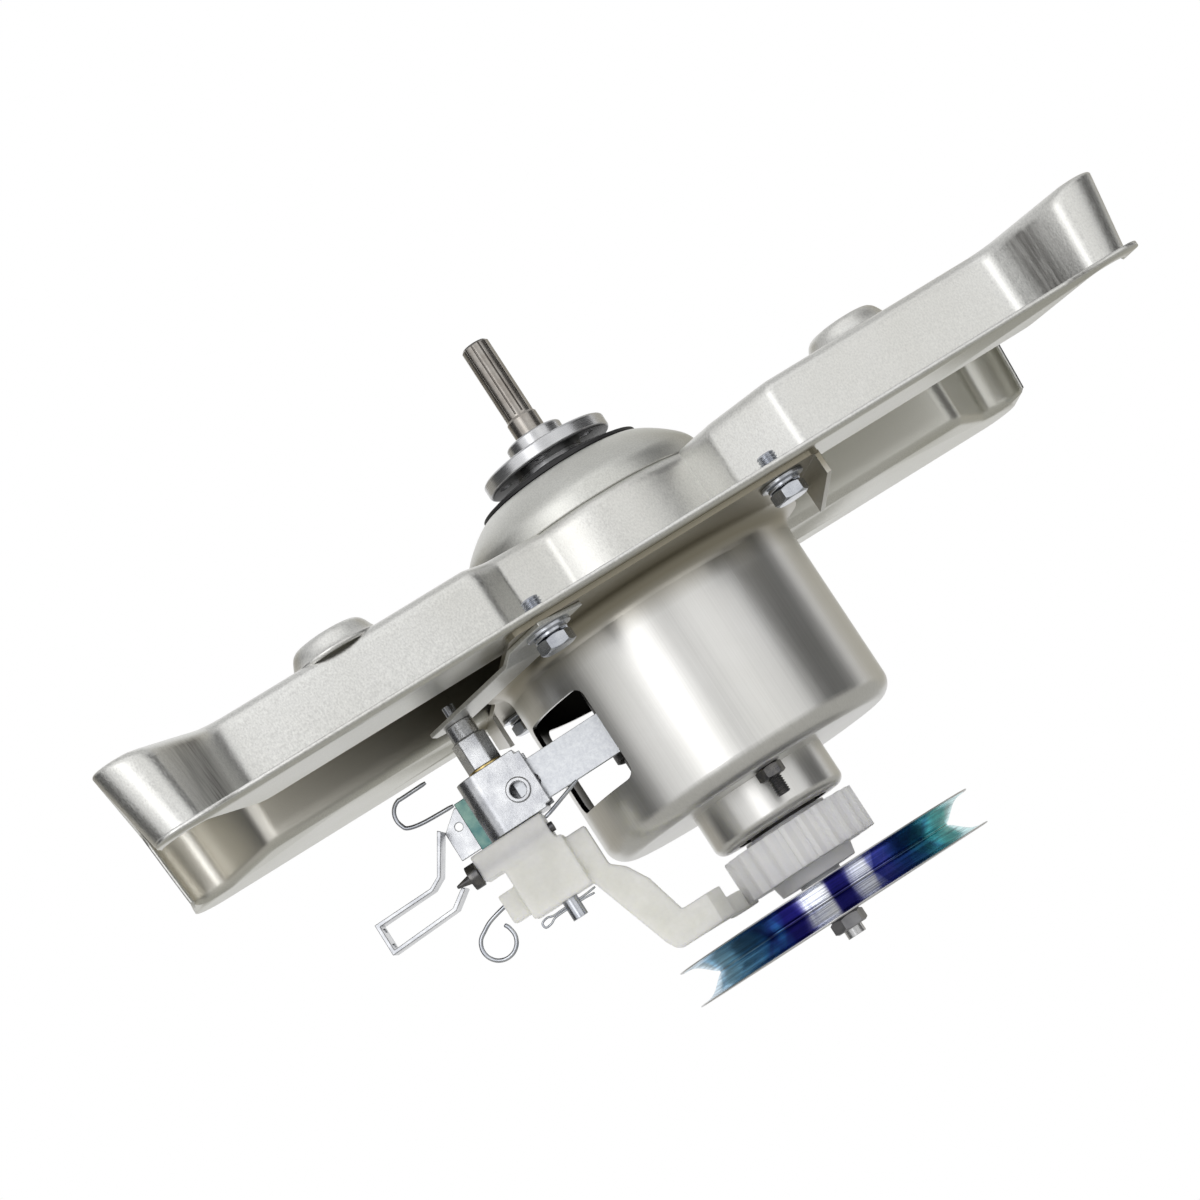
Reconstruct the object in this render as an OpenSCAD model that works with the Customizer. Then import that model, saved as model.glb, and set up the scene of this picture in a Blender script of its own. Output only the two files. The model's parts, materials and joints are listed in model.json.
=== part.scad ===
// Speed-reducer clutch of a top-loading washing machine, with its mounting bracket.
// Origin: on the shaft axis, in the plane of the bracket's four tub pads.
// +Z runs up the wash shaft, +X along the bracket, and the lever group is on the -X side.

/* [Bracket] */
// Length of the bracket along X
bracket_len = 426; // [400:1:460]
// Height of the pan, from its top face to the underside of its flange
pan_h = 36.6; // [30:0.1:42]
// Thickness of the bracket's sheet
sheet = 1.8; // [1.4:0.1:2.4]
// Distance from the shaft axis to the front flange edge
front_edge = 117; // [112:1:125]
// Distance from the shaft axis to the back flange edge
back_edge = 128; // [112:1:135]
// Distance from the axis to the front wall, left of the turret
wall_left = 66; // [62:1:72]
// Distance from the axis to the front wall, right of the turret
wall_right = 76; // [70:1:80]
// Distance from the axis to the back wall
wall_back = 66; // [62:1:72]
// Distance from the axis to the outer face of the corner lobes
lobe_reach = 105; // [98:1:110]
// Length of a lobe, from the bracket's end to where its diagonal meets the wall
lobe_len = 41; // [34:1:50]
// Outer radius of the lobe corners
lobe_r = 12; // [8:1:16]
// How far the ends lean out at the top
end_flare = 9; // [0:0.5:12]
// Radius of the bend round the pan's top edge
top_bend = 7; // [4:0.5:9]
// Radius of the round turret in the front wall
turret_r = 58; // [56:0.5:60]
// Height of the tub pads above the pan
pad_h = 7.7; // [4:0.1:10]
// Radius of a tub pad's flat top
pad_r = 13; // [10:0.5:15]
// Distance between the pads along X
pad_x = 236; // [220:1:250]
// Distance between the pads along Y
pad_y = 94; // [88:1:98]
// Radius of the tub bolt holes
pad_hole_r = 4.25; // [3.2:0.05:5.5]

/* [Dome and seal] */
// Height of the dome above the pan
dome_h = 20.9; // [18:0.1:24]
// Radius of the dome at its foot
dome_r = 54; // [52:0.5:55]
// Radius of the flat on top of the dome
dome_top_r = 36; // [34:0.5:40]
// Outer radius of the seal's rubber skirt
seal_r = 35.8; // [33:0.1:38]

/* [Bearings] */
// Outer radius of both ball bearings
bearing_r = 27.5; // [26:0.5:27.5]
// Width of both ball bearings
bearing_w = 13; // [11:0.5:14]
// Radius of a ball
ball_r = 3.6; // [3:0.1:3.9]
// Number of balls in a bearing
ball_n = 11; // [8:1:12]

/* [Housing can] */
// Outer radius of the can
can_r = 65.5; // [62:0.5:68]
// Thickness of the can's sheet
can_t = 2; // [1.6:0.1:2.6]
// Depth of the can below the bracket
can_depth = 86.2; // [80:0.1:92]
// Radius between the can's flange and its wall
neck_r = 8; // [5:0.5:10]
// Radius of the can's bottom corner
can_corner_r = 8.4; // [5:0.2:12]
// Height of the bearing collar
collar_h = 18.8; // [17:0.1:24]
// Radius of the collar's bottom corner
collar_corner_r = 4; // [2:0.5:6]
// Distance of the housing bolts from the axis along X
bolt_x = 52; // [48:1:54]
// Distance of the housing bolts from the axis along Y
bolt_y = 94; // [88:1:98]
// Nominal diameter of the housing bolts
bolt_d = 8; // [6:1:8]
// Half width of the housing's flange along X
ear_x = 68; // [64:1:70]
// Half width of the housing's flange along Y
ear_y = 106; // [102:1:110]
// Height of the two windows
window_h = 40; // [34:1:46]
// Width of the two windows
window_w = 46; // [40:1:50]
// Corner radius of the windows
window_r = 4.4; // [2:0.2:8]

/* [Shafts] */
// Diameter over the wash shaft's spline
spline_d = 12.2; // [11:0.1:12.8]
// Length of the spline
spline_len = 35.1; // [25:0.1:45]
// Number of spline grooves
spline_n = 12; // [8:1:14]
// Width of a spline groove
groove_w = 0.7; // [0.5:0.05:0.8]
// Depth of a spline groove
groove_d = 0.6; // [0.3:0.05:0.9]
// Diameter of the plain wash shaft
wash_d = 13.4; // [13:0.1:14]
// Length of plain wash shaft above the tub flange's hub
wash_neck = 9.1; // [5:0.1:15]
// Outer radius of the spin tube and the lower sleeve
tube_r = 15; // [14.5:0.1:15]
// Diameter of the input shaft
input_d = 11; // [10.5:0.1:11.5]
// Wall of the plain bushes
bush_t = 1.8; // [1.5:0.1:2.5]

/* [Tub flange] */
// Radius of the tub flange
tubf_r = 28.2; // [26:0.1:32]
// Thickness of the tub flange
tubf_t = 6.1; // [5:0.1:8]
// Radius of its hub
tubf_hub_r = 12.5; // [12:0.1:14]
// Height of its hub
tubf_hub_h = 7.7; // [5:0.1:10]
// Gap between the dome and the tub flange
tubf_gap = 8; // [7:0.1:10]
// Diameter of the tub flange's bolt circle
tubf_pcd = 44; // [42:0.5:46]
// Number of bolt holes in the tub flange
tubf_n = 6; // [3:1:8]
// Radius of those holes
tubf_hole_r = 2.6; // [2.1:0.1:3.2]

/* [Gears] */
// Module of the planetary gears
gear_m = 1.25; // [1.2:0.01:1.28]
// Teeth of the sun gear
sun_z = 12; // [12]
// Teeth of the ring gear
ring_z = 48; // [48]
// Number of planet gears
planet_n = 3; // [3]
// Width of the sun and planet gears
gear_w = 16; // [12:0.5:18]
// Backlash, taken off each tooth's thickness
backlash = 0.16; // [0.1:0.01:0.3]

/* [Brake] */
// Outer radius of the brake drum
drum_r = 40; // [39:0.5:41]
// Wall of the brake drum
drum_t = 4; // [3.5:0.1:4.5]
// Depth from the bracket flange to the drum's top
drum_drop = 19.7; // [18:0.1:22]
// Height of the brake drum
drum_h = 40; // [38:0.5:44]
// Width of the brake band
band_w = 17.7; // [14:0.1:20]
// Thickness of the brake lining
lining_t = 1.7; // [1:0.1:2]
// Thickness of the band's steel strap
strap_t = 1; // [0.6:0.1:1.2]

/* [Ratchet wheel and clutch] */
// Radius over the ratchet teeth
wheel_r = 29.5; // [28:0.1:31]
// Number of ratchet teeth
wheel_n = 24; // [12:12:36]
// Depth of a ratchet tooth
tooth_d = 2.2; // [1.5:0.1:3]
// Height of the toothed rim
wheel_h = 18; // [15:0.5:22]
// Gap between the collar and the toothed rim
wheel_gap = 2.8; // [2:0.1:4]
// Height of the wheel's lower collar
wheel_foot_h = 5.5; // [4:0.1:8]
// Radius of the clutch drum that the wrap spring grips
clutch_r = 12; // [11.5:0.1:12.2]
// Wire diameter of the wrap spring
wrap_d = 1.4; // [1:0.1:1.5]
// Turns of the wrap spring
wrap_n = 8; // [6:1:10]

/* [Pulley] */
// Radius over the pulley's rims
pulley_r = 66.9; // [60:0.5:72]
// Radius at the bottom of the groove
groove_r = 52.6; // [46:0.5:56]
// Width over the pulley's rims
pulley_w = 15.7; // [13:0.1:18]
// Sheet thickness of the pulley halves
pulley_t = 1.6; // [1.2:0.1:2]
// Gap between the ratchet wheel and the pulley's rim
pulley_gap = 2.4; // [1.5:0.1:5]
// Nominal diameter of the pulley nut's thread
nut_d = 8; // [8]

/* [Lever group] */
// Turn of the lever group about the shaft, clockwise from above
lever_turn = 10.5; // [8:0.5:13]
// Distance of the lever pin to the left of the shaft axis
pin_left = 85; // [83:0.5:88]
// Distance of the lever pin in front of the shaft axis
pin_front = 38; // [36:0.5:40]
// Diameter of the lever pin
pin_d = 6.5; // [6:0.1:7]
// Radius of the brake lever's round back
lever_r = 8.5; // [8:0.1:9.5]
// Sheet thickness of the brake lever
lever_t = 1.5; // [1.2:0.1:1.8]
// Height of the brake lever between its ears
lever_h = 22.8; // [20:0.1:25]
// Height of the hexagonal standoff
standoff_h = 12.9; // [10:0.1:16]
// Length of the pull lever's loop, from the pin
pull_len = 67; // [60:1:72]
// Depth of the pull lever's loop
pull_w = 14; // [10:0.5:16]
// Thickness of the pawl's arm
pawl_w = 8; // [6:0.5:10]

/* [Fits] */
// Radial clearance of a running fit
run_fit = 0.05; // [0.03:0.01:0.08]
// Radial clearance of a fixed fit
seat_fit = 0.02; // [0.01:0.01:0.03]

/* [Hidden] */
$fn = 64;

eps = 0.01;
thin = 0.3;                            // shadow gap between neighbours that move
half_len = bracket_len/2;

// heights, from the pad plane down to the shaft's lower end
z_pan = -pad_h;
z_flange = z_pan - pan_h;
z_can = z_flange - can_depth;
z_collar = z_can - collar_h;
z_wheel = z_collar - wheel_gap;
z_foot = z_wheel - wheel_h;
z_pulley = z_foot - wheel_foot_h - pulley_gap;
z_web = z_pulley - pulley_w/2;
z_dome = z_pan + dome_h;
z_tubf = z_dome + tubf_gap;
z_hub = z_tubf + tubf_t + tubf_hub_h;
z_spline = z_hub + wash_neck;
z_drum = z_flange - drum_drop;
z_cover = z_drum - drum_h;
cover_t = 3;
z_band = z_drum - 13.8 - band_w/2;

// bearings
inner_race_r = tube_r + seat_fit;
ball_track_r = (bearing_r + inner_race_r)/2;
z_top_bearing = z_dome - 27.2;
seat_lip = 3.5;
z_low_bearing = z_collar + can_t;

// planetary gears
planet_z = (ring_z - sun_z)/2;
sun_pitch = gear_m*sun_z/2;
planet_pitch = gear_m*planet_z/2;
orbit_r = sun_pitch + planet_pitch;
pressure = 25;
z_gear = z_drum - 13;
plate_t = 5;
carrier_r = gear_m*ring_z/2 - 3;
planet_pin_r = 3;
pillar_r = 4;
ring_top = z_drum - 6;
ring_low = z_cover + 4;
bore_r = wash_d/2 + bush_t;
sleeve_r = input_d/2 + bush_t + 1.2;

// housing bolts
head_r = bolt_d*0.9375;
head_h = bolt_d*0.65;
washer_r = bolt_d*1.15;
washer_t = 1.6;
ear_t = can_t + 0.2;
strap_sheet = 1.8;

// lever group
z_strap = z_flange - ear_t - 3.1;
standoff_neck = 7;
z_lever = z_strap - strap_sheet - standoff_neck - standoff_h - 0.9;
ear_top_t = 1.8;
ear_low_t = 1.3;
z_lever_low = z_lever - ear_top_t - lever_h - ear_low_t;
z_pawl = z_lever_low - thin;
pawl_top_h = 11.1;
pawl_h = 33.4;
lever_open_x = 14.7;
hole_x = 6.5;

// colours
zinc = [0.74, 0.74, 0.70];
zinc_blue = [0.72, 0.75, 0.80];
steel = [0.62, 0.62, 0.63];
dark = [0.20, 0.20, 0.22];
rubber = [0.06, 0.06, 0.07];
nylon_white = [0.86, 0.86, 0.90];
nylon_ivory = [0.80, 0.81, 0.72];
blue_groove = [0.22, 0.26, 0.60];
teal = [0.18, 0.42, 0.38];
bronze = [0.55, 0.42, 0.25];

function unit(v) = v/norm(v);
function on_circle(r, a) = [r*cos(a), r*sin(a)];
function arc(r, a0, a1, n) = [for (i = [0:n]) on_circle(r, a0 + (a1 - a0)*i/n)];

// One polygon corner rounded to radius r, as n + 1 points on the arc
function rounded(a, p, b, r, n) = r == 0 ? [p] :
    let (u = unit(a - p), v = unit(b - p), half = acos(u*v)/2,
         c = p + unit(u + v)*r/sin(half),
         s = p + u*r/tan(half) - c, e = p + v*r/tan(half) - c,
         a0 = atan2(s[1], s[0]), turn = (atan2(e[1], e[0]) - a0 + 540) % 360 - 180)
    [for (i = [0:n]) c + on_circle(r, a0 + turn*i/n)];
// A closed outline from [x, y, corner radius] rows
function soft_outline(rows, n = 4) = let (m = len(rows)) [for (i = [0:m - 1])
    let (a = rows[(i + m - 1) % m], p = rows[i], b = rows[(i + 1) % m])
    each rounded([a[0], a[1]], [p[0], p[1]], [b[0], b[1]], p[2], n)];
// The outline moved in along the mean of the two edge normals, by one distance or by one for each point
function inset(path, d) = let (m = len(path)) [for (i = [0:m - 1])
    let (p = path[i], u = unit(p - path[(i + m - 1) % m]), v = unit(path[(i + 1) % m] - p),
         n1 = [-u[1], u[0]], n2 = [-v[1], v[0]])
    p + (is_list(d) ? d[i] : d)*(n1 + n2)/(1 + n1*n2)];

// A solid through equal rings of points, lowest ring first
module loft(rings) {
    m = len(rings[0]);
    k = len(rings);
    polyhedron(
        points = [for (ring = rings) each ring],
        faces = concat(
            [[for (i = [0:m - 1]) i]],
            [for (j = [0:k - 2]) for (i = [0:m - 1])
                [j*m + i, (j + 1)*m + i, (j + 1)*m + (i + 1) % m, j*m + (i + 1) % m]],
            [[for (i = [m - 1:-1:0]) (k - 1)*m + i]]));
}

// A round wire along a path; the path never runs along ref
module wire(path, r, ref = [0, 1, 0], sides = 8) {
    n = len(path);
    loft([for (i = [0:n - 1])
        let (t = unit(path[min(i + 1, n - 1)] - path[max(i - 1, 0)]),
             a = unit(cross(t, ref)), b = cross(a, t))
        [for (k = [0:sides - 1])
            path[i] + r*(cos(360*k/sides)*a + sin(360*k/sides)*b)]]);
}

module ring(r_out, r_in, z0, z1) {
    translate([0, 0, z0]) difference() {
        cylinder(r = r_out, h = z1 - z0);
        translate([0, 0, -1]) cylinder(r = r_in, h = z1 - z0 + 2);
    }
}

module lever_frame() {
    rotate([0, 0, -lever_turn]) translate([-pin_left, -pin_front, 0]) children();
}

// Involute gear outline: each tooth's flanks start on the base circle
function involute(base, r) = let (t = sqrt(max(0, r*r/base/base - 1))) t*180/PI - atan(t);
function gear_outline(z, r_low, r_tip, thick, steps = 4) = let (pitch_r = gear_m*z/2,
    base = pitch_r*cos(pressure), half = thick/pitch_r/2*180/PI + involute(base, pitch_r))
    [for (k = [0:z - 1]) each concat(
        [for (i = [0:steps]) let (r = r_low + (r_tip - r_low)*i/steps)
            on_circle(r, 360*k/z - half + involute(base, max(r, base)))],
        [for (i = [steps:-1:0]) let (r = r_low + (r_tip - r_low)*i/steps)
            on_circle(r, 360*k/z + half - involute(base, max(r, base)))])];
module gear2d(z) {
    polygon(gear_outline(z, gear_m*(z/2 - 1.2), gear_m*(z/2 + 0.9), gear_m*PI/2 - backlash));
}

// Pan outline, counter-clockwise from the front left lobe
lobe_flat = 18;
lobe_bend = 9;
notch_x = 60;
notch_y = 11;
mouth = 2*(lobe_reach - lobe_r - 1.5);
mouth_lip = 3;
back_reach = lobe_reach - 3;
pan_outline = soft_outline(concat(
    [[-half_len, -lobe_reach, lobe_r], [-half_len + lobe_flat, -lobe_reach, lobe_bend],
     [-half_len + lobe_len, -wall_left, 9], [-notch_x, -wall_left, 9],
     [-notch_x + notch_y, -wall_left + notch_y, 4]],
    [for (p = arc(turret_r, -119, -51, 9)) [p[0], p[1], 0]],
    [[46, -wall_right + 18, 10], [72, -wall_right, 10], [half_len - lobe_len, -wall_right, 9],
     [half_len - lobe_flat, -lobe_reach, lobe_bend], [half_len, -lobe_reach, lobe_r],
     [half_len, back_reach, lobe_r], [half_len - lobe_flat, back_reach, lobe_bend],
     [half_len - lobe_len, wall_back, 9]],
    [for (x = [150:-25:-150]) [x, wall_back, 0]],
    [[-half_len + lobe_len, wall_back, 9],
     [-half_len + lobe_flat, back_reach, lobe_bend], [-half_len, back_reach, lobe_r]]), 3);
function lean(x, h) = x + sign(x)*end_flare*h*max(0, min(1, (abs(x) - half_len + lobe_len)/lobe_len));
// The part of the top bend that is left at x: it runs out to a sharp edge at the bracket's ends
function bend_share(x) = 1 - 0.8*max(0, min(1, (abs(x) - half_len + lobe_flat)/lobe_flat));
function pan_ring(d, z, bend = 0) = let (moved = [for (q = pan_outline) d + bend*bend_share(q[0])])
    [for (p = inset(pan_outline, moved)) [lean(p[0], (z - z_flange)/pan_h), p[1], z]];
// Rings up one face of the pan, moved in by d and lowered by drop
function pan_rings(d, drop) = let (bend = top_bend - drop, draft = d + 0.8) concat(
    [pan_ring(d, z_flange + 0.4), pan_ring(draft, z_pan - top_bend)],
    [for (a = [30:30:90]) pan_ring(draft, z_pan - top_bend + bend*sin(a), bend*(1 - cos(a)))]);
function flip(rows) = [for (i = [len(rows) - 1:-1:0]) rows[i]];
// Triangles between the outline's front points and its back points, both taken from left to right
front_n = len([for (p = pan_outline) if (p[1] < 0) p]);
function pan_x(i) = pan_outline[i][0];
function zip(i, j) = let (m = len(pan_outline), more_front = i < front_n - 1, more_back = j > front_n)
    !more_front && !more_back ? [] :
    more_front && (!more_back || pan_x(i + 1) <= pan_x(j - 1)) ? concat([[i, i + 1, j]], zip(i + 1, j)) :
    concat([[i, j - 1, j]], zip(i, j - 1));
// Down the inside from its top, round the lower edge and up the outside
module pan_shell() {
    rings = concat(flip(pan_rings(sheet, sheet)), pan_rings(0, 0));
    m = len(pan_outline);
    last = (len(rings) - 1)*m;
    cap = zip(0, m - 1);
    polyhedron(
        points = [for (ring = rings) each ring],
        faces = concat(cap, [for (t = cap) [last + t[2], last + t[1], last + t[0]]],
            [for (j = [0:len(rings) - 2], i = [0:m - 1]) let (q = (i + 1) % m)
                [j*m + i, (j + 1)*m + i, (j + 1)*m + q, j*m + q]]));
}

// The flange round the pan; the two ends stay open between the lobes
end_x = half_len - 0.4;
flange_r = 5;
module pan_flange() translate([0, 0, z_flange]) linear_extrude(sheet) difference() {
    polygon(soft_outline([[-end_x, -front_edge, flange_r], [end_x, -front_edge, flange_r],
        [end_x, back_edge, flange_r], [-end_x, back_edge, flange_r]], 6));
    polygon(inset(pan_outline, 0.6*sheet));
    for (side = [-1, 1]) translate([side*half_len, 0]) square([2*lobe_r, mouth + 0.6], center = true);
}

// Dome with the upper bearing's seat drawn into it, lip inwards
module dome() {
    seat_r = bearing_r + seat_fit;
    lip_r = bearing_r - seat_lip;
    foot_z = z_pan - 1.2;
    rotate_extrude() polygon([[seat_r, z_dome], [dome_top_r, z_dome], [dome_r - 4, z_dome - 6.7],
        [dome_r - 0.8, z_dome - 10.7], [dome_r, z_dome - 15], [dome_r, foot_z],
        [dome_r - sheet, foot_z], [dome_r - sheet, z_dome - 15.4],
        [dome_r - sheet - 0.6, z_dome - 11.6], [dome_r - sheet - 3.3, z_dome - 8.3],
        [dome_top_r - 0.4, z_dome - sheet], [seat_r + sheet, z_dome - sheet],
        [seat_r + sheet, z_top_bearing - sheet], [lip_r, z_top_bearing - sheet],
        [lip_r, z_top_bearing], [seat_r, z_top_bearing]]);
}

module at_pads() for (x = [-1, 1], y = [-1, 1]) translate([x*pad_x/2, y*pad_y/2, 0]) children();
module tub_pad() rotate_extrude() polygon([[pad_hole_r, 0], [pad_hole_r, -sheet], [pad_r - 0.5, -sheet],
    [pad_r - 0.5, z_pan - sheet/2], [pad_r + 6, z_pan - sheet/2], [pad_r + 5, z_pan + 1],
    [pad_r + 1.5, -1.2], [pad_r, 0]]);

module bracket() color(zinc) difference() {
    union() {
        difference() {
            pan_shell();
            translate([0, 0, z_pan - 2*sheet]) cylinder(r = dome_r - sheet/2, h = 4*sheet);
            for (side = [-1, 1]) translate([side*(half_len + 10), 0, z_flange - 1])
                linear_extrude(pan_h + 1 - mouth_lip) square([60, mouth], center = true);
            at_pads() translate([0, 0, z_pan - 2*sheet]) cylinder(r = pad_r, h = 4*sheet);
        }
        pan_flange();
        dome();
        at_pads() tub_pad();
    }
    for (x = [-1, 1], y = [-1, 1]) translate([x*bolt_x, y*bolt_y, z_flange - 1])
        cylinder(r = bolt_d/2 + 0.3, h = sheet + 2);
}

module can_window(azimuth) {
    rotate([0, 0, azimuth]) translate([can_r/2, 0, z_band]) rotate([90, 0, 90])
        linear_extrude(can_r) polygon(soft_outline([
            [-window_w/2, -window_h/2, window_r], [window_w/2, -window_h/2, window_r],
            [window_w/2, window_h/2, window_r], [-window_w/2, window_h/2, window_r]], 5));
}

module housing_can() color(zinc) {
    r_in = can_r - can_t;
    collar_r = bearing_r + can_t;
    difference() {
        union() {
            translate([0, 0, z_flange - ear_t]) linear_extrude(ear_t)
                polygon(soft_outline([[-ear_x, -ear_y, 6], [ear_x, -ear_y, 6],
                    [ear_x, ear_y, 6], [-ear_x, ear_y, 6]], 5));
            rotate_extrude($fn = 96) union() {
                difference() {
                    translate([0, z_flange - ear_t - neck_r]) square([can_r + neck_r, neck_r + ear_t/2]);
                    translate([can_r + neck_r, z_flange - ear_t - neck_r]) circle(r = neck_r);
                }
                difference() {
                    translate([0, z_can]) square([can_r, can_depth - ear_t - neck_r/2]);
                    translate([can_r - can_corner_r, z_can]) difference() {
                        square([can_corner_r + 1, can_corner_r]);
                        translate([0, can_corner_r]) circle(r = can_corner_r);
                    }
                }
                translate([0, z_collar]) difference() {
                    square([collar_r, collar_h + 1]);
                    translate([collar_r - collar_corner_r, 0]) difference() {
                        square([collar_corner_r + 1, collar_corner_r]);
                        translate([0, collar_corner_r]) circle(r = collar_corner_r);
                    }
                }
            }
            for (x = [-1, 1], y = [-1, 1]) if (x > 0 || y > 0)
                translate([x*(ear_x - can_t/2), 0, z_flange - ear_t/2])
                    rotate([90, 0, 90]) translate([0, 0, -can_t/2]) linear_extrude(can_t)
                        polygon([[y*(ear_y - 4), 0], [y*(ear_y - 4), -9.5],
                            [y*(ear_y - 44), -15.5], [y*(ear_y - 44), 0]]);
        }
        rotate_extrude($fn = 96) union() {
            translate([0, z_can + can_t]) difference() {
                square([r_in, can_depth + 10]);
                translate([r_in - can_corner_r + can_t, 0]) difference() {
                    square([can_corner_r, can_corner_r - can_t]);
                    translate([0, can_corner_r - can_t]) circle(r = can_corner_r - can_t);
                }
            }
            translate([0, z_low_bearing]) square([bearing_r + seat_fit, collar_h + 2*can_t]);
            translate([0, z_collar - 1]) square([bearing_r - 7, collar_h]);
        }
        can_window(-156);
        can_window(131);
        for (x = [-1, 1], y = [-1, 1]) translate([x*bolt_x, y*bolt_y, z_flange - 2*ear_t])
            cylinder(r = bolt_d/2 + 0.3, h = 3*ear_t);
        at_stud() translate([0, 0, z_can - 1]) cylinder(r = stud_r + 0.2, h = can_t + 2);
    }
}

// Which bolt also holds the lever strap: the front left one
function bolt_seat(x, y) = z_flange - ear_t - (x < 0 && y < 0 ? strap_sheet : 0);
module housing_bolts() color(zinc_blue) {
    for (x = [-1, 1], y = [-1, 1]) translate([x*bolt_x, y*bolt_y, bolt_seat(x, y) - washer_t]) {
        translate([0, 0, -head_h]) cylinder(r = head_r, h = head_h, $fn = 6);
        translate([0, 0, -eps]) cylinder(r = bolt_d/2, h = z_flange + sheet + 7 - bolt_seat(x, y) + washer_t);
    }
}
module bolt_washers() color(zinc_blue) {
    for (x = [-1, 1], y = [-1, 1]) translate([x*bolt_x, y*bolt_y, 0])
        ring(washer_r, bolt_d/2 + run_fit, bolt_seat(x, y) - washer_t, bolt_seat(x, y));
}

// Outer race: a ring with a round groove for the balls
module outer_race(z) {
    difference() {
        ring(bearing_r, ball_track_r + ball_r*0.62, z, z + bearing_w);
        translate([0, 0, z + bearing_w/2]) rotate_extrude() translate([ball_track_r, 0])
            circle(r = ball_r + run_fit);
    }
}
module inner_race(z) {
    difference() {
        ring(ball_track_r - ball_r*0.62, inner_race_r, z, z + bearing_w);
        translate([0, 0, z + bearing_w/2]) rotate_extrude() translate([ball_track_r, 0])
            circle(r = ball_r + run_fit);
    }
}
module bearing_races_fixed() color(steel) {
    outer_race(z_top_bearing);
    outer_race(z_low_bearing);
}
module bearing_races_spinning() color(steel) {
    inner_race(z_top_bearing);
    inner_race(z_low_bearing);
}
module bearing_balls() color(steel) {
    for (z = [z_top_bearing, z_low_bearing], k = [0:ball_n - 1])
        translate([ball_track_r*cos(360*k/ball_n), ball_track_r*sin(360*k/ball_n), z + bearing_w/2])
            sphere(r = ball_r, $fn = 24);
}

module oil_seal() color(rubber) {
    lip = tube_r + run_fit;
    rotate_extrude() polygon([[lip + 2, z_dome - 13], [bearing_r, z_dome - 13], [bearing_r, z_dome + 0.1],
        [seal_r, z_dome + 0.1], [seal_r, z_dome + 1.4], [30, z_dome + 3.2], [21, z_dome + 4.6],
        [lip, z_dome + 6.2], [lip, z_dome + 4.4], [lip + 3, z_dome + 2], [lip + 3, z_dome - 9],
        [lip, z_dome - 10], [lip, z_dome - 12]]);
}

band_r = drum_r + 0.3;
band_gap = 34;
module band_sector(r_in, r_out) {
    translate([0, 0, z_band - band_w/2]) rotate([0, 0, -90 - lever_turn])
        rotate_extrude(angle = 360 - band_gap, $fn = 96) translate([r_in, 0]) square([r_out - r_in, band_w]);
}
module brake_lining() color([0.30, 0.22, 0.16]) band_sector(band_r, band_r + lining_t);
strap_r = band_r + lining_t;
// Plan of the strap: round the lining, then straight off its free end to the left
free_len = 18;
strap_plan = concat([[-free_len, -strap_r - strap_t]], arc(strap_r + strap_t, -90, 270 - band_gap, 72),
    flip(arc(strap_r + 0.05, -90, 270 - band_gap, 72)), [[-free_len, -strap_r - 0.05]]);
module brake_band() color(steel) rotate([0, 0, -lever_turn]) translate([0, 0, z_band - band_w/2])
    linear_extrude(band_w) polygon(strap_plan);

// The stud under the can holds the plate that the band's fixed end is welded to
stud_left = 6;
stud_front = 42;
stud_r = 3;
anchor_t = 2;
weld_r = strap_r + strap_t + seat_fit;
module at_stud() rotate([0, 0, -lever_turn]) translate([stud_left, -stud_front, 0]) children();
module band_anchor() color(zinc_blue) rotate([0, 0, -lever_turn]) {
    floor_z = z_can + can_t;
    translate([0, 0, floor_z]) linear_extrude(anchor_t) difference() {
        polygon(soft_outline([[stud_left - 9, -stud_front - 8, 4], [stud_left + 9, -stud_front - 8, 4],
            [stud_left + 9, -stud_front + 8, 4], [stud_left - 9, -stud_front + 8, 4],
            [-26, -29, 3], [-35, -33, 3], [-25, -42, 4]]));
        translate([stud_left, -stud_front]) circle(r = stud_r + 0.1);
    }
    translate([0, 0, floor_z]) rotate([0, 0, -90 - band_gap - 11])
        rotate_extrude(angle = 10, $fn = 96) translate([weld_r, 0]) square([1.6, z_band + band_w/2 - floor_z]);
}
module anchor_stud() color(dark) at_stud() {
    translate([0, 0, z_can - 12.5]) cylinder(r = stud_r, h = 12.5 + can_t + anchor_t + eps);
    translate([0, 0, z_can + can_t + anchor_t]) cylinder(r = stud_r + 2.2, h = 3);
}
module anchor_nut() color(dark) at_stud() translate([0, 0, z_can - 5]) difference() {
    cylinder(r = 5.8, h = 5, $fn = 6);
    translate([0, 0, -1]) cylinder(r = stud_r + run_fit, h = 7);
}

// Joggled strap from the front left housing bolt to the lever pin
module lever_strap() color(zinc) {
    bolt = [-bolt_x, -bolt_y];
    pin = [-pin_left*cos(lever_turn) - pin_front*sin(lever_turn),
        pin_left*sin(lever_turn) - pin_front*cos(lever_turn)];
    span = norm(pin - bolt);
    top = z_flange - ear_t;
    step = z_strap - top;
    translate([bolt[0], bolt[1], top]) rotate([0, 0, atan2(pin[1] - bolt[1], pin[0] - bolt[0])]) difference() {
        rotate([90, 0, 0]) translate([0, 0, -11]) linear_extrude(22) polygon([
            [-11, 0], [14, 0], [21, step], [span + 10, step], [span + 10, step - strap_sheet],
            [20.4, step - strap_sheet], [13.4, -strap_sheet], [-11, -strap_sheet]]);
        translate([0, 0, -3*strap_sheet]) cylinder(r = bolt_d/2 + 0.3, h = 4*strap_sheet);
        translate([span, 0, 2*step]) cylinder(r = 2.6, h = 10);
        for (side = [-1, 1]) translate([span + 10, side*11, 0]) rotate([0, 0, 45])
            cube([8, 8, 30], center = true);
    }
}

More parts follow.
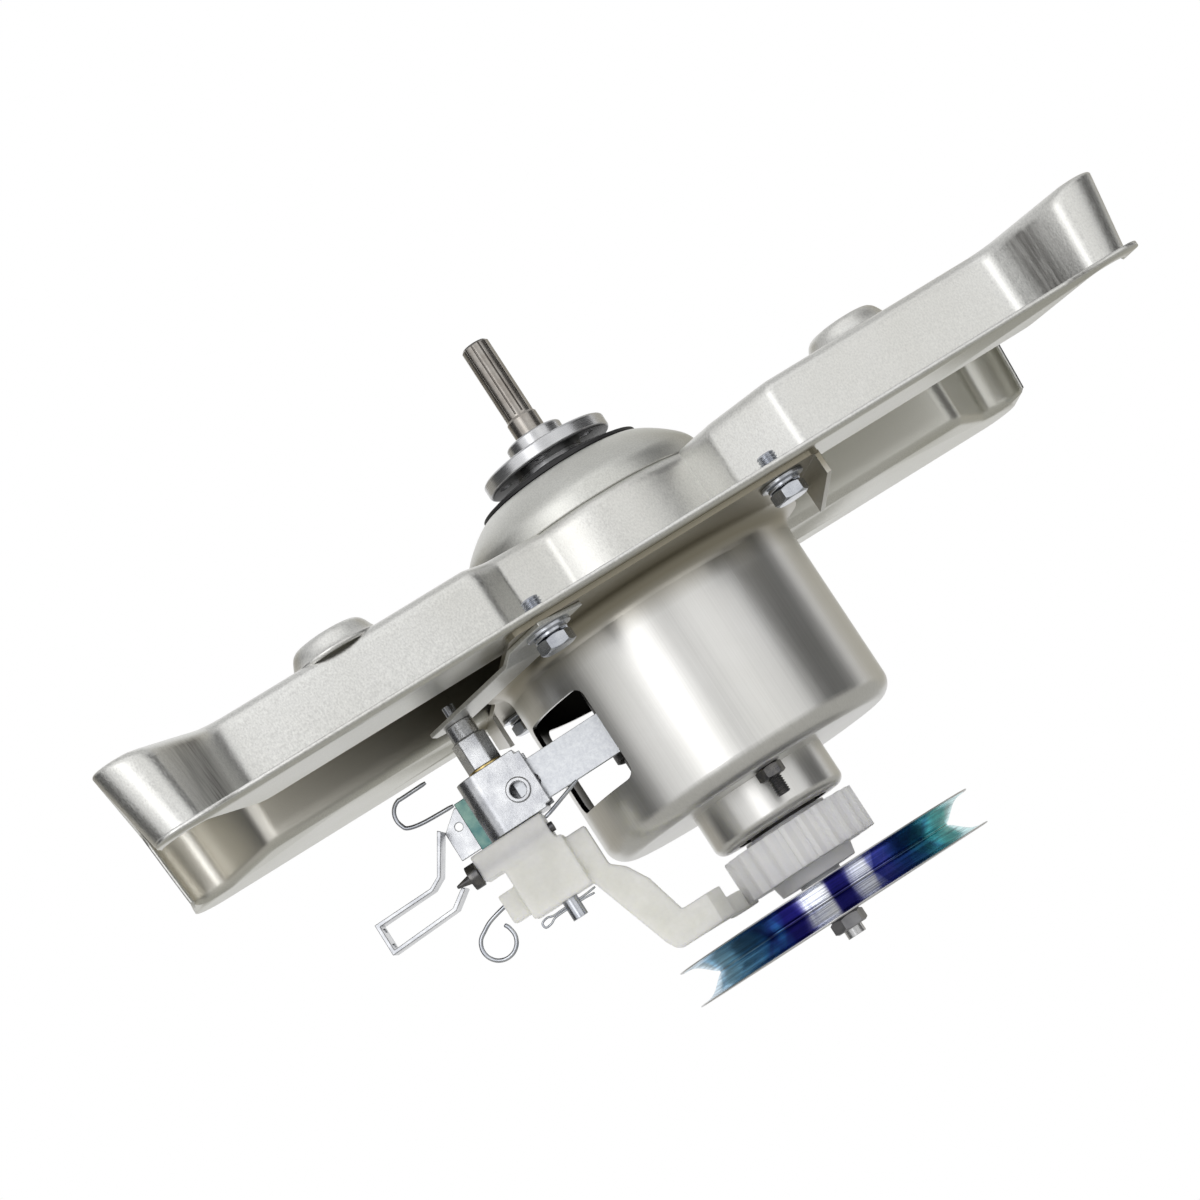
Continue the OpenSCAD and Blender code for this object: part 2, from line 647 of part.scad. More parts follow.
pin_z_low = z_pawl - pawl_h - 8.2;
cotter_z = z_pawl - pawl_h - 2.4;
module lever_pin() color(steel) lever_frame() {
    difference() {
        union() {
            translate([0, 0, pin_z_low]) cylinder(r = pin_d/2, h = z_strap - strap_sheet - pin_z_low);
            translate([0, 0, z_strap - 2*strap_sheet]) cylinder(r = 2.5, h = 2*strap_sheet + 6);
        }
        translate([0, 0, cotter_z]) rotate([0, 90, 0]) cylinder(r = 0.95, h = 2*pin_d, center = true);
    }
}
module standoff_nut() color(zinc_blue) lever_frame() difference() {
    z1 = z_strap - strap_sheet;
    union() {
        translate([0, 0, z1 - standoff_neck]) cylinder(r = 5.8, h = standoff_neck);
        translate([0, 0, z1 - standoff_neck - standoff_h]) cylinder(r = 7.4, h = standoff_h, $fn = 6);
    }
    translate([0, 0, z1 - 40]) cylinder(r = pin_d/2 + run_fit, h = 50);
}
module pin_washer() color([0.72, 0.62, 0.30]) lever_frame()
    ring(7.4, pin_d/2 + run_fit, z_lever + 0.05, z_lever + 0.85);
module cotter_pin() color(steel) lever_frame()
    wire([[-14.5, 0, cotter_z - 1.3], [-10, 0, cotter_z - 0.6], [-4.5, 0, cotter_z], [4.5, 0, cotter_z],
        [7.5, 0, cotter_z + 0.5], [10.8, 0, cotter_z + 0.2]], 0.85);

module spin_tube() color(steel) difference() {
    union() {
        translate([0, 0, z_drum + 2]) cylinder(r = tube_r, h = z_tubf - z_drum - 2);
        translate([0, 0, z_tubf - eps]) cylinder(r = bore_r + 1.5, h = z_hub - z_tubf - 0.3);
        translate([0, 0, z_drum]) cylinder(r = tube_r + 6, h = 2 + eps);
        translate([0, 0, z_drum - 3]) cylinder(r = tube_r - 3, h = 3 + eps);
    }
    translate([0, 0, z_drum - 10]) cylinder(r = bore_r, h = 200);
}
module tub_flange() color(steel) difference() {
    rotate_extrude() polygon([[bore_r + 1.5 + seat_fit, z_tubf], [tubf_r - 0.8, z_tubf], [tubf_r, z_tubf + 0.8],
        [tubf_r, z_tubf + tubf_t - 0.8], [tubf_r - 0.8, z_tubf + tubf_t], [tubf_hub_r + 1, z_tubf + tubf_t],
        [tubf_hub_r, z_tubf + tubf_t + 1], [tubf_hub_r, z_hub - 0.8], [tubf_hub_r - 0.8, z_hub],
        [bore_r + 1.5 + seat_fit, z_hub]]);
    for (k = [0:tubf_n - 1]) rotate([0, 0, 360*k/tubf_n + 15]) translate([tubf_pcd/2, 0, z_tubf - 1])
        cylinder(r = tubf_hole_r, h = tubf_t + 2);
}
module tube_bushes() color(bronze) {
    for (z = [z_hub - 20, z_drum + 4]) ring(bore_r - seat_fit, wash_d/2 + run_fit, z, z + 15);
}
module shaft_seal() color(rubber) ring(bore_r - seat_fit, wash_d/2 + run_fit, z_hub - 4.8, z_hub - 0.8);

module brake_drum() color(steel) difference() {
    translate([0, 0, z_cover]) cylinder(r = drum_r, h = drum_h, $fn = 96);
    translate([0, 0, z_cover - 1]) cylinder(r = drum_r - drum_t, h = ring_top - z_cover + 1);
    translate([0, 0, z_cover - 1]) cylinder(r = drum_r - drum_t - 3, h = drum_h - 2);
    translate([0, 0, z_cover]) cylinder(r = tube_r - 3 + seat_fit, h = 2*drum_h);
    for (k = [0:3]) rotate([0, 0, 90*k + 45]) translate([drum_r - drum_t/2, 0, z_cover - 1])
        cylinder(r = 1.25, h = 9, $fn = 24);
}
module ring_gear() color(steel) translate([0, 0, ring_low]) linear_extrude(ring_top - ring_low) difference() {
    circle(r = drum_r - drum_t - seat_fit);
    rotate(180/ring_z) polygon(gear_outline(ring_z, gear_m*(ring_z/2 - 0.85), gear_m*(ring_z/2 + 1.2),
        gear_m*PI/2 + backlash));
}
module drum_cover() color(steel) difference() {
    union() {
        translate([0, 0, z_cover - cover_t]) cylinder(r = drum_r, h = cover_t, $fn = 96);
        translate([0, 0, z_cover - eps]) cylinder(r = drum_r - drum_t - seat_fit, h = 3.8);
        translate([0, 0, z_wheel - 1.2]) cylinder(r = tube_r, h = z_cover - cover_t - z_wheel + 1.2 + eps);
        translate([0, 0, z_wheel - 8]) cylinder(r = clutch_r, h = 8);
    }
    translate([0, 0, z_cover]) cylinder(r = drum_r - drum_t - 4, h = 10);
    translate([0, 0, z_wheel - 10]) cylinder(r = sleeve_r, h = 100);
    for (k = [0:3]) rotate([0, 0, 90*k + 45]) translate([drum_r - drum_t/2, 0, z_cover - cover_t - 1])
        cylinder(r = 1.25, h = cover_t + 2, $fn = 24);
}
module drum_screws() color(dark) for (k = [0:3]) rotate([0, 0, 90*k + 45])
    translate([drum_r - drum_t/2, 0, z_cover - cover_t]) {
        translate([0, 0, -1.6]) cylinder(r = 2.2, h = 1.6, $fn = 24);
        translate([0, 0, -eps]) cylinder(r = 1.2, h = cover_t + 6, $fn = 24);
    }
module sleeve_bushes() color(bronze)
    for (z = [z_cover - cover_t - 12, z_wheel - 6]) ring(sleeve_r - seat_fit, input_d/2 + run_fit, z, z + 12);

// Splined wash shaft, a pin with narrow grooves
groove_turn = 10;
module wash_shaft() color([0.62, 0.58, 0.53]) {
    difference() {
        rotate_extrude() polygon([[0, z_gear + 2], [wash_d/2, z_gear + 2], [wash_d/2, z_spline - 1],
            [spline_d/2, z_spline], [spline_d/2, z_spline + spline_len - 1],
            [spline_d/2 - 1, z_spline + spline_len],
            [0, z_spline + spline_len]]);
        for (k = [0:spline_n - 1]) rotate([0, 0, 360*k/spline_n + groove_turn])
            translate([spline_d/2 - groove_d, -groove_w/2, z_spline + 0.8]) cube([4, groove_w, spline_len]);
    }
}
module planet_carrier() color(steel) difference() {
    union() {
        translate([0, 0, z_gear + 2]) cylinder(r = carrier_r, h = plate_t);
        translate([0, 0, z_gear - gear_w - 5]) cylinder(r = carrier_r, h = 3);
        for (k = [0:planet_n - 1]) rotate([0, 0, 360*(k + 0.5)/planet_n])
            translate([orbit_r + 3, 0, z_gear - gear_w - 4])
            cylinder(r = pillar_r, h = gear_w + 8);
    }
    translate([0, 0, z_gear + 1]) cylinder(r = wash_d/2 + seat_fit, h = 10);
    translate([0, 0, z_gear - gear_w - 6]) cylinder(r = sun_pitch + 2.2, h = 6);
    for (k = [0:planet_n - 1]) rotate([0, 0, 360*k/planet_n]) translate([orbit_r, 0, z_gear - gear_w - 6])
        cylinder(r = planet_pin_r + seat_fit, h = gear_w + 14);
}
module planet_pins() color(steel) for (k = [0:planet_n - 1]) rotate([0, 0, 360*k/planet_n])
    translate([orbit_r, 0, z_gear - gear_w - 5]) cylinder(r = planet_pin_r, h = gear_w + plate_t + 7);
// A planet's tooth gap faces the sun's tooth and the ring's tooth
module planet_gear(k) color([0.45, 0.45, 0.47]) rotate([0, 0, 360*k/planet_n])
    translate([orbit_r, 0, z_gear - gear_w])
    rotate([0, 0, 180/planet_z]) linear_extrude(gear_w) difference() {
        gear2d(planet_z);
        circle(r = planet_pin_r + run_fit);
    }
module planet_gear_1() planet_gear(0);
module planet_gear_2() planet_gear(1);
module planet_gear_3() planet_gear(2);

thread_z = z_web - 5.2;
seat_r = input_d/2;
module input_shaft() color(steel) {
    translate([0, 0, z_gear - gear_w - 0.5]) cylinder(r = 4.5, h = gear_w + 1);
    translate([0, 0, thread_z]) cylinder(r = seat_r, h = z_gear - gear_w - 0.5 - thread_z);
    translate([0, 0, thread_z - 11.8]) cylinder(r = nut_d/2, h = 12);
}
module sun_gear() color(steel) translate([0, 0, z_gear - gear_w]) linear_extrude(gear_w) difference() {
    gear2d(sun_z);
    circle(r = 4.5 + seat_fit);
}
module clutch_hub() color(steel) difference() {
    union() {
        translate([0, 0, z_foot - wheel_foot_h]) cylinder(r = clutch_r, h = wheel_h + wheel_foot_h - 8.4);
        translate([0, 0, z_web + 4.5]) cylinder(r = 9, h = z_foot - wheel_foot_h - z_web - 4.5 + eps);
    }
    translate([0, 0, z_web]) cylinder(r = seat_r + seat_fit, h = 60);
}
module pulley_hub() color(steel) difference() {
    translate([0, 0, thread_z + 0.3]) cylinder(r = 12, h = z_web + 4.4 - thread_z - 0.3);
    translate([0, 0, thread_z - 1]) cylinder(r = seat_r + seat_fit, h = 20);
}
// One pressed half: flat web, then a flaring wall up to the thin rim
module pulley_half() rotate_extrude($fn = 128) {
    w = pulley_w/2;
    polygon([[12 + seat_fit, 0], [groove_r, 0], [groove_r + 1.6, 0.9], [groove_r + 6, w*0.62],
        [groove_r + 9.5, w*0.86], [pulley_r, w - 0.7], [pulley_r, w], [groove_r + 8.6, w],
        [groove_r + 4.4, w*0.8], [groove_r - 0.4, pulley_t + 0.6], [groove_r - 2.4, pulley_t],
        [12 + seat_fit, pulley_t]]);
}
module pulley_upper() color(blue_groove) translate([0, 0, z_web]) pulley_half();
module pulley_lower() color(blue_groove) translate([0, 0, z_web]) mirror([0, 0, 1]) pulley_half();
nut_top = thread_z - 2.9;
module pulley_washers() color(steel) {
    ring(8.5, nut_d/2 + run_fit, thread_z - 1.5, thread_z);
    ring(6.6, nut_d/2 + run_fit, nut_top, thread_z - 1.5 - eps);
}
module pulley_nut() color(steel) translate([0, 0, nut_top - 5.5]) difference() {
    cylinder(r = 7.5, h = 5.5, $fn = 6);
    translate([0, 0, -1]) cylinder(r = nut_d/2 + run_fit, h = 8);
}

// Saw teeth: a steep face, a short crest and a long ramp
pawl_azimuth = 155;
module ratchet_wheel() color(nylon_white) difference() {
    pitch = 360/wheel_n;
    root_r = wheel_r - tooth_d;
    union() {
        translate([0, 0, z_foot]) linear_extrude(wheel_h) rotate(pawl_azimuth - lever_turn + 0.17*pitch)
            polygon([for (k = [0:wheel_n - 1]) each [
                on_circle(root_r, pitch*k), on_circle(wheel_r, pitch*(k + 0.04)),
                on_circle(wheel_r, pitch*(k + 0.30)), on_circle(root_r, pitch*(k + 0.66))]]);
        translate([0, 0, z_wheel - eps]) cylinder(r = tube_r + 3, h = 1.8);
        translate([0, 0, z_foot - wheel_foot_h])
            cylinder(r1 = tube_r + 1.8, r2 = tube_r + 3, h = wheel_foot_h + eps);
    }
    translate([0, 0, z_foot - 10]) cylinder(r = clutch_r + run_fit, h = 100);
    translate([0, 0, z_foot - wheel_foot_h + 2]) cylinder(r = clutch_r + wrap_d + 0.8, h = 100);
    translate([0, 0, z_wheel - 1.3]) cylinder(r = tube_r + run_fit, h = 100);
}
wrap_turns_h = wheel_h + wheel_foot_h - 4.4 - wrap_d;
wrap_steps = 20;
wrap_r = clutch_r + wrap_d/2 + thin;
wrap_z = z_foot - wheel_foot_h + 2.3 + wrap_d/2;
module wrap_spring() color(steel) wire([for (i = [0:wrap_n*wrap_steps]) let (a = 360*i/wrap_steps)
    [wrap_r*cos(a), wrap_r*sin(a), wrap_z + wrap_turns_h*a/360/wrap_n]], wrap_d/2, [0, 0, 1], 6);

// Brake lever: a sheet bent round the pin, with an ear above and below
module lever_ear(z, t) translate([0, 0, z]) linear_extrude(t) difference() {
    union() {
        translate([-5.2, 0]) circle(r = lever_r);
        translate([-5.2, -lever_r]) square([lever_open_x + 3, 2*lever_r]);
    }
    circle(r = pin_d/2 + run_fit);
}
module brake_lever() color(zinc_blue) lever_frame() difference() {
    union() {
        lever_ear(z_lever - ear_top_t, ear_top_t);
        lever_ear(z_lever_low, ear_low_t);
        translate([0, 0, z_lever_low + ear_low_t - eps]) linear_extrude(lever_h + 2*eps) difference() {
            union() {
                translate([-5.2, 0]) circle(r = lever_r);
                translate([-5.2, -lever_r]) square([lever_open_x + 5.2, 2*lever_r]);
            }
            translate([-5.2, 0]) circle(r = lever_r - lever_t);
            translate([-5.2, -lever_r + lever_t]) square([60, 2*(lever_r - lever_t)]);
        }
        translate([hole_x, -lever_r + 0.2, z_band]) rotate([90, 0, 0]) cylinder(r = 4.8, h = 1.2);
    }
    translate([hole_x, -lever_r + 5, z_band]) rotate([90, 0, 0]) cylinder(r = 3.3, h = 10);
}
// Flat arm on the band's free end, with room for the lever to swing
arm_y = pin_front - strap_r + seat_fit;
module band_arm() color(zinc_blue) lever_frame() difference() {
    translate([5.4, arm_y, z_band - band_w/2]) cube([pin_left - 15.4, lever_t, band_w]);
    translate([hole_x + 6, 0, z_band]) rotate([90, 0, 0]) cylinder(r = 3, h = 12);
}
module spring_plate() color(teal) lever_frame()
    translate([-19, lever_r + seat_fit, z_band - 10.5]) cube([28, 1.2, 21]);
pull_y = lever_r + 1.2 + 2*seat_fit;
pull_z = z_lever - ear_top_t - 27.4;
module pull_lever() color(zinc_blue) lever_frame() difference() {
    t = 1.6;
    union() {
        translate([0, pull_y + t, 0]) rotate([90, 0, 0]) linear_extrude(t) polygon([
            [-28, pull_z + 17.5], [-20, pull_z + 24], [8, pull_z + 24], [8, pull_z + 5], [-28, pull_z + 5]]);
        translate([0, pull_y + t, pull_z]) rotate([90, 0, 0]) linear_extrude(pull_w) polygon([
            [-27.6, 18], [-37.3, 3.2], [-42.7, 0.4], [-pull_len, 0], [-pull_len, -10.4], [-39.6, -9.2],
            [-32.3, -4.2], [-31.4, -5.5], [-38.9, -10.8], [-pull_len - t, -12], [-pull_len - t, t],
            [-42.9, t + 0.3], [-38.3, 4.2], [-28.8, 19.2]]);
    }
    translate([-22, pull_y + 5, pull_z + 17]) rotate([90, 0, 0]) cylinder(r = 1.6, h = 10, $fn = 24);
    for (z = [-9.2, -2.4]) translate([-pull_len - 5, pull_y - 9, pull_z + z]) cube([10, 7, 1.6]);
}
module lever_spring() color(steel) lever_frame() {
    z = z_lever - ear_top_t - 2;
    y = lever_r + 4;
    wire(concat([[-24, y, z + 13.5], [-35, y, z + 13.4]],
        [for (a = [75:-25:-50]) [-35.5 - 6*cos(a), y, z + 7.2 + 6.4*sin(a)]],
        [[-33, y, z + 0.8], [-19.6, y, z]]), 0.9);
}

// Plastic pawl: a hub on the pin, a diagonal arm and a foot beside the ratchet wheel
z_foot_top = z_foot + 11.7;
z_foot_low = z_foot - 0.9;
nose_r = wheel_r - tooth_d + 0.7;
function on_wheel(r, a) = [pin_left, pin_front] + on_circle(r, a);
// Plan of the foot: it curls round the wheel's left side to its nose between two teeth
foot_plan = concat([[34, -pawl_w/2], [45, -pawl_w/2]],
    [for (a = [206:-9:170]) on_wheel(wheel_r + 2.6, a)],
    [on_wheel(wheel_r + 0.8, pawl_azimuth + 3.4), on_wheel(nose_r, pawl_azimuth + 0.9),
     on_wheel(nose_r, pawl_azimuth - 1), on_wheel(wheel_r + 4, pawl_azimuth - 5)],
    [for (a = [158:8:206]) on_wheel(wheel_r + 9, a)], [[34, pawl_w/2]]);
module pawl() color(nylon_ivory) lever_frame() difference() {
    z_body = z_pawl - pawl_top_h;
    z_low = z_pawl - pawl_h;
    union() {
        translate([-23.2, -9.5, z_body]) cube([31.8, 17, pawl_top_h]);
        translate([-14.8, -9, z_low]) cube([25.8, 16, z_body - z_low + eps]);
        translate([-22.5, -5, z_low + 3]) cube([8, 10, 12.3]);
        rotate([90, 0, 0]) translate([0, 0, -pawl_w/2]) linear_extrude(pawl_w) polygon([
            [8, z_low + 20.5], [20, z_low + 20.5], [20, z_low + 3], [25, z_low - 1.2], [30, z_low - 9.9],
            [34.3, z_foot_top], [38, z_foot_top], [38, z_foot_low], [26.5, z_foot_low],
            [24.4, z_foot_low + 1.4], [22.4, z_foot_low + 5],
            [11.2, z_low]]);
        translate([0, 0, z_foot_low]) linear_extrude(z_foot_top - z_foot_low - 4.9) polygon(foot_plan);
        translate([0, 0, z_foot_low]) linear_extrude(z_foot_top - z_foot_low)
            polygon([[34, -pawl_w/2], [45, -pawl_w/2], [51, 3], [44, 10], [34, pawl_w/2]]);
    }
    translate([0, 0, z_low - 1]) cylinder(r = pin_d/2 + run_fit, h = pawl_h + 2);
    translate([-30, screw_y, screw_z]) rotate([0, 90, 0]) cylinder(r = 2 + seat_fit, h = 60);
    translate([-25, 0, z_low + 11.5]) rotate([0, 90, 0]) cylinder(r = 1.25, h = 10, $fn = 24);
}
screw_y = -6.2;
screw_z = z_pawl - 6.9;
module adjust_screw() color(dark) lever_frame() translate([0, screw_y, screw_z]) rotate([0, 90, 0]) {
    translate([0, 0, -27.5]) cylinder(r = 5, h = 4.2, $fn = 24);
    translate([0, 0, -27.5 + eps]) cylinder(r = 2, h = 38);
    translate([0, 0, -33.5]) cylinder(r1 = 0.6, r2 = 2, h = 6.1, $fn = 24);
}
module pawl_spring() color(steel) lever_frame() {
    z = z_pawl - pawl_h + 11.6;
    wire(concat([[-16, 0, z], [-22, 0, z - 0.4], [-30, 0, z - 2.2]],
        [for (a = [110:30:380]) [-31.9 + 6.9*cos(a), 0, z - 10.8 + 6.9*sin(a)]],
        [[-26.4, 0.4, z - 6.4]]), 0.9);
}
module return_spring() color(steel) lever_frame()
    wire([[9.2, -6, z_pawl - 2.6], [13, -6.4, z_pawl - 1.7], [27.3, -12, z_pawl + 2.2]], 0.8);

bracket();
housing_can();
housing_bolts();
bolt_washers();
bearing_races_fixed();
bearing_balls();
oil_seal();
brake_band();
brake_lining();
band_anchor();
anchor_stud();
anchor_nut();
lever_strap();
lever_pin();
standoff_nut();
pin_washer();
cotter_pin();
spin_tube();
tub_flange();
bearing_races_spinning();
brake_drum();
ring_gear();
drum_cover();
drum_screws();
tube_bushes();
sleeve_bushes();
shaft_seal();
wash_shaft();
planet_carrier();
planet_pins();
planet_gear_1();
planet_gear_2();
planet_gear_3();
input_shaft();
sun_gear();
clutch_hub();
pulley_hub();
pulley_upper();
pulley_lower();
pulley_washers();
pulley_nut();
ratchet_wheel();
wrap_spring();
brake_lever();
band_arm();
spring_plate();
pull_lever();
lever_spring();
pawl();
adjust_screw();
pawl_spring();
return_spring();
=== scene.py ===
# %% [markdown]
# # Washing machine clutch
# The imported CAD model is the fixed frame. This script gives every CAD node its finish, adds the
# small forms that only the render needs, and sets the studio and the camera. The scene is in metres,
# and the sizes of new pieces are written in mm. The origin is on the shaft axis in the plane of the
# bracket's tub pads, and +Z runs up the shaft.

# %% Load the frame
import json
import math

import bmesh
import bpy
import numpy as np
from mathutils import Matrix, Vector
from mathutils.geometry import delaunay_2d_cdt


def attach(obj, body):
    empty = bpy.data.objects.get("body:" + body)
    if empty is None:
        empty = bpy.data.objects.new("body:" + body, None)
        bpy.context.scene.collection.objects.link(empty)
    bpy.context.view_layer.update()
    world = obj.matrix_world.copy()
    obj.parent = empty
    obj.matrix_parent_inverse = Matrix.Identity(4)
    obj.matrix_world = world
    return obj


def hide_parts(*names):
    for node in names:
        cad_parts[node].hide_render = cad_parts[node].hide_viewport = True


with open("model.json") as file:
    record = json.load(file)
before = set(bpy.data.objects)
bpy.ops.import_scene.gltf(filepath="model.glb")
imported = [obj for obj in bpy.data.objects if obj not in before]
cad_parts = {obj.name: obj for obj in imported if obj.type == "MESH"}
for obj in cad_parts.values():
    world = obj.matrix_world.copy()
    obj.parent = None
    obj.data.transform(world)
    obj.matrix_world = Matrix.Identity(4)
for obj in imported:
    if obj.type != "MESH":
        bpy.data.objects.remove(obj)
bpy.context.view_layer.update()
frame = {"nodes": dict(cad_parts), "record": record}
nodes = frame["nodes"]
MM = 0.001

# %% [markdown]
# ## Mesh from a grid
# Most new pieces are a surface over two parameters, such as the way along a profile and the turn about
# an axis. The points come as one array of shape (rows, columns, 3), where u counts rows and v columns, and
# the faces are worked out with whole-array index sums.


# %% Grid helpers
def in_scene(name, data):
    """A new object with the given data, linked to the scene."""
    obj = bpy.data.objects.new(name, data)
    bpy.context.scene.collection.objects.link(obj)
    return obj


def mesh_piece(name, points, faces):
    """A mesh object from rows of points (x, y, z) in mm, and faces as lists of row numbers."""
    mesh = bpy.data.meshes.new(name)
    mesh.from_pydata((points*MM).tolist(), [], faces)
    mesh.update()
    return in_scene(name, mesh)


def grid_mesh(name, points, close_u=False, close_v=False, caps=False):
    """A mesh object from a grid of points, in mm. Quad (i, j) joins points i, i+1 and j, j+1; a closed
    direction wraps round. caps closes the first and last row with one face each."""
    rows, cols = points.shape[:2]
    i = np.arange(rows if close_u else rows - 1)[:, None]
    j = np.arange(cols if close_v else cols - 1)[None, :]
    i2, j2 = (i + 1) % rows, (j + 1) % cols
    quads = np.stack([i*cols + j, i*cols + j2, i2*cols + j2, i2*cols + j], axis=-1).reshape(-1, 4)
    faces = quads.tolist()
    if caps:
        faces += [np.arange(cols)[::-1].tolist(), ((rows - 1)*cols + np.arange(cols)).tolist()]
    return mesh_piece(name, points.reshape(-1, 3), faces)


def tidy_normals(obj, smooth_angle=35, sheet=False):
    """Merges doubled points, turns all faces outwards and shades smooth below the given angle. An open
    sheet has no outside: it is turned over where its faces' areas times their normals point down."""
    bm = bmesh.new()
    bm.from_mesh(obj.data)
    bmesh.ops.remove_doubles(bm, verts=bm.verts, dist=1e-7)
    bmesh.ops.recalc_face_normals(bm, faces=bm.faces)
    bm.to_mesh(obj.data)
    bm.free()
    count = len(obj.data.polygons)
    area, normal = np.empty(count), np.empty(3*count)
    obj.data.polygons.foreach_get("area", area)
    obj.data.polygons.foreach_get("normal", normal)
    if sheet and area @ normal[2::3] < 0:
        obj.data.flip_normals()
    obj.data.polygons.foreach_set("use_smooth", np.ones(count, bool))
    obj.data.set_sharp_from_angle(angle=math.radians(smooth_angle))
    return obj


def joined(name, parts):
    """One object from several, with all their faces in one mesh."""
    bm = bmesh.new()
    for part in parts:
        bm.from_mesh(part.data)
    mesh = bpy.data.meshes.new(name)
    bm.to_mesh(mesh)
    bm.free()
    for part in parts:
        bpy.data.objects.remove(part)
    return in_scene(name, mesh)


# %% [markdown]
# ## Pressed bracket
# The bracket is one sheet: a flange, a wall that follows the pan's outline, a soft bend, the flat top, a
# drawn dome and four pads. It could be cut from solids, but a press forms a skin, so here a surface
# follows the sheet's upper face, the dome has one of its own, and Solidify gives both the sheet's
# thickness. The wall, the dome and the pads are grids. The flat parts are filled between their loops by a
# constrained triangulation.

# %% Sheet sizes, in mm
SHEET = 1.8
FLANGE_TOP = -42.5
PAN_TOP = -7.7
HALF = 213.0
FLARE, BACK_FLARE, FLARE_CURVE = 8.2, 0.5, 1.3
LOBE_LEN, LOBE_FLAT = 41.0, 18.0
LOBE_Y, BACK_LOBE_Y = 105.0, 102.0
LOBE_R, LOBE_BEND = 12.0, 9.0
WALL_Y, RIGHT_WALL_Y = 66.0, 76.0
TURRET_R = 58.0
MOUTH, BACK_MOUTH = 91.5, 88.5
TOP_BEND, END_TIGHTER = 7.0, 0.8
DRAFT = 0.8
FOOT_BEND = 2.5
FRONT_EDGE, BACK_EDGE = 117.0, 128.0
FRONT_CORNER, BACK_CORNER = 10.0, 14.0
FLANGE_PAST = 0.6
PAD_X, PAD_Y, PAD_HOLE, PAD_FOOT = 118.0, 47.0, 4.25, 19.5
BOLT_X, BOLT_Y, BOLT_HOLE = 52.0, 94.0, 4.3
DOME_HOLE = 48.5
PATH_STEP = 6.0
SIDE_STEPS = 9
NEAR_END, LIP_DROP = 2.0, 3.0


# %% Outline helpers
def softened(rows, steps=8):
    """An open path from rows (x, y, radius). Each inner corner becomes an arc: its centre lies on the
    bisector at radius/sin(half angle), and the arc turns from one tangent point to the other."""
    rows = np.asarray(rows, float)
    corner, radius = rows[1:-1, :2], rows[1:-1, 2:]
    before, after = rows[:-2, :2] - corner, rows[2:, :2] - corner
    before /= np.linalg.norm(before, axis=1, keepdims=True)
    after /= np.linalg.norm(after, axis=1, keepdims=True)
    half = np.arccos((before*after).sum(1, keepdims=True))/2
    middle = before + after
    centre = corner + middle/np.linalg.norm(middle, axis=1, keepdims=True)*radius/np.sin(half)
    start = corner + before*radius/np.tan(half) - centre
    end = corner + after*radius/np.tan(half) - centre
    first = np.arctan2(start[:, 1], start[:, 0])
    turn = (np.arctan2(end[:, 1], end[:, 0]) - first + np.pi) % (2*np.pi) - np.pi
    angle = first[:, None] + turn[:, None]*np.linspace(0, 1, steps + 1)
    arcs = centre[:, None] + radius[:, None]*np.stack([np.cos(angle), np.sin(angle)], -1)
    return np.concatenate([rows[:1, :2], arcs.reshape(-1, 2), rows[-1:, :2]])


def refined(path, step):
    """The open path with every edge longer than step cut into equal pieces."""
    edge = path[1:] - path[:-1]
    pieces = np.ceil(np.linalg.norm(edge, axis=1)/step).astype(int).clip(1)
    index = np.repeat(np.arange(len(edge)), pieces)
    share = (np.arange(len(index)) - np.repeat(np.cumsum(pieces) - pieces, pieces))/pieces[index]
    return np.concatenate([path[index] + share[:, None]*edge[index], path[-1:]])


def moved_in(path, distance):
    """A closed path moved inwards along the mean of its two edge normals, mitred."""
    back, on = path - np.roll(path, 1, 0), np.roll(path, -1, 0) - path
    normal_1 = np.stack([-back[:, 1], back[:, 0]], 1)/np.linalg.norm(back, axis=1, keepdims=True)
    normal_2 = np.stack([-on[:, 1], on[:, 0]], 1)/np.linalg.norm(on, axis=1, keepdims=True)
    cosine = (normal_1*normal_2).sum(1, keepdims=True)
    return path + np.reshape(distance, (-1, 1))*(normal_1 + normal_2)/(1 + cosine)


def full_turn(steps):
    """The angles of a full turn in equal steps, in radians."""
    return np.arange(steps)*2*np.pi/steps


def circle(centre, radius, steps=64):
    """Points on a circle, counter-clockwise."""
    angle = full_turn(steps)
    return np.array(centre) + radius*np.stack([np.cos(angle), np.sin(angle)], 1)


def about(centre, radius, turn, height):
    """Points at a radius and an angle about the upright line through centre, at the given height."""
    x = centre[0] + radius*np.cos(turn)
    y = centre[1] + radius*np.sin(turn)
    return np.stack([x, y, height + 0*x], -1)


def inside(points, loop):
    """Which points lie in a loop: a ray to +X crosses its edges an odd number of times."""
    a, b = loop[None], np.roll(loop, -1, 0)[None]
    p = points[:, None]
    spans = (a[..., 1] > p[..., 1]) != (b[..., 1] > p[..., 1])
    rise = np.where(b[..., 1] == a[..., 1], 1e-9, b[..., 1] - a[..., 1])
    cross = a[..., 0] + (p[..., 1] - a[..., 1])/rise*(b[..., 0] - a[..., 0])
    return (spans & (p[..., 0] < cross)).sum(1) % 2 == 1


def filled(name, outer, holes, z):
    """A flat face between an outer loop and hole loops, in triangles that keep all their points."""
    loops = [outer] + holes
    edges, first = [], 0
    for loop in loops:
        index = np.arange(len(loop))
        edges.append(first + np.stack([index, (index + 1) % len(loop)], 1))
        first += len(loop)
    loops, edges = np.concatenate(loops), np.concatenate(edges)
    verts, _, faces, _, _, _ = delaunay_2d_cdt(loops.tolist(), edges.tolist(), [], 1, 1e-4)
    verts, faces = np.array(verts), np.array(faces)
    middle = verts[faces].mean(1)
    keep = np.ones(len(faces), bool)
    for hole in holes:
        keep &= ~inside(middle, hole)
    return mesh_piece(name, np.column_stack([verts, np.full(len(verts), z)]), faces[keep].tolist())


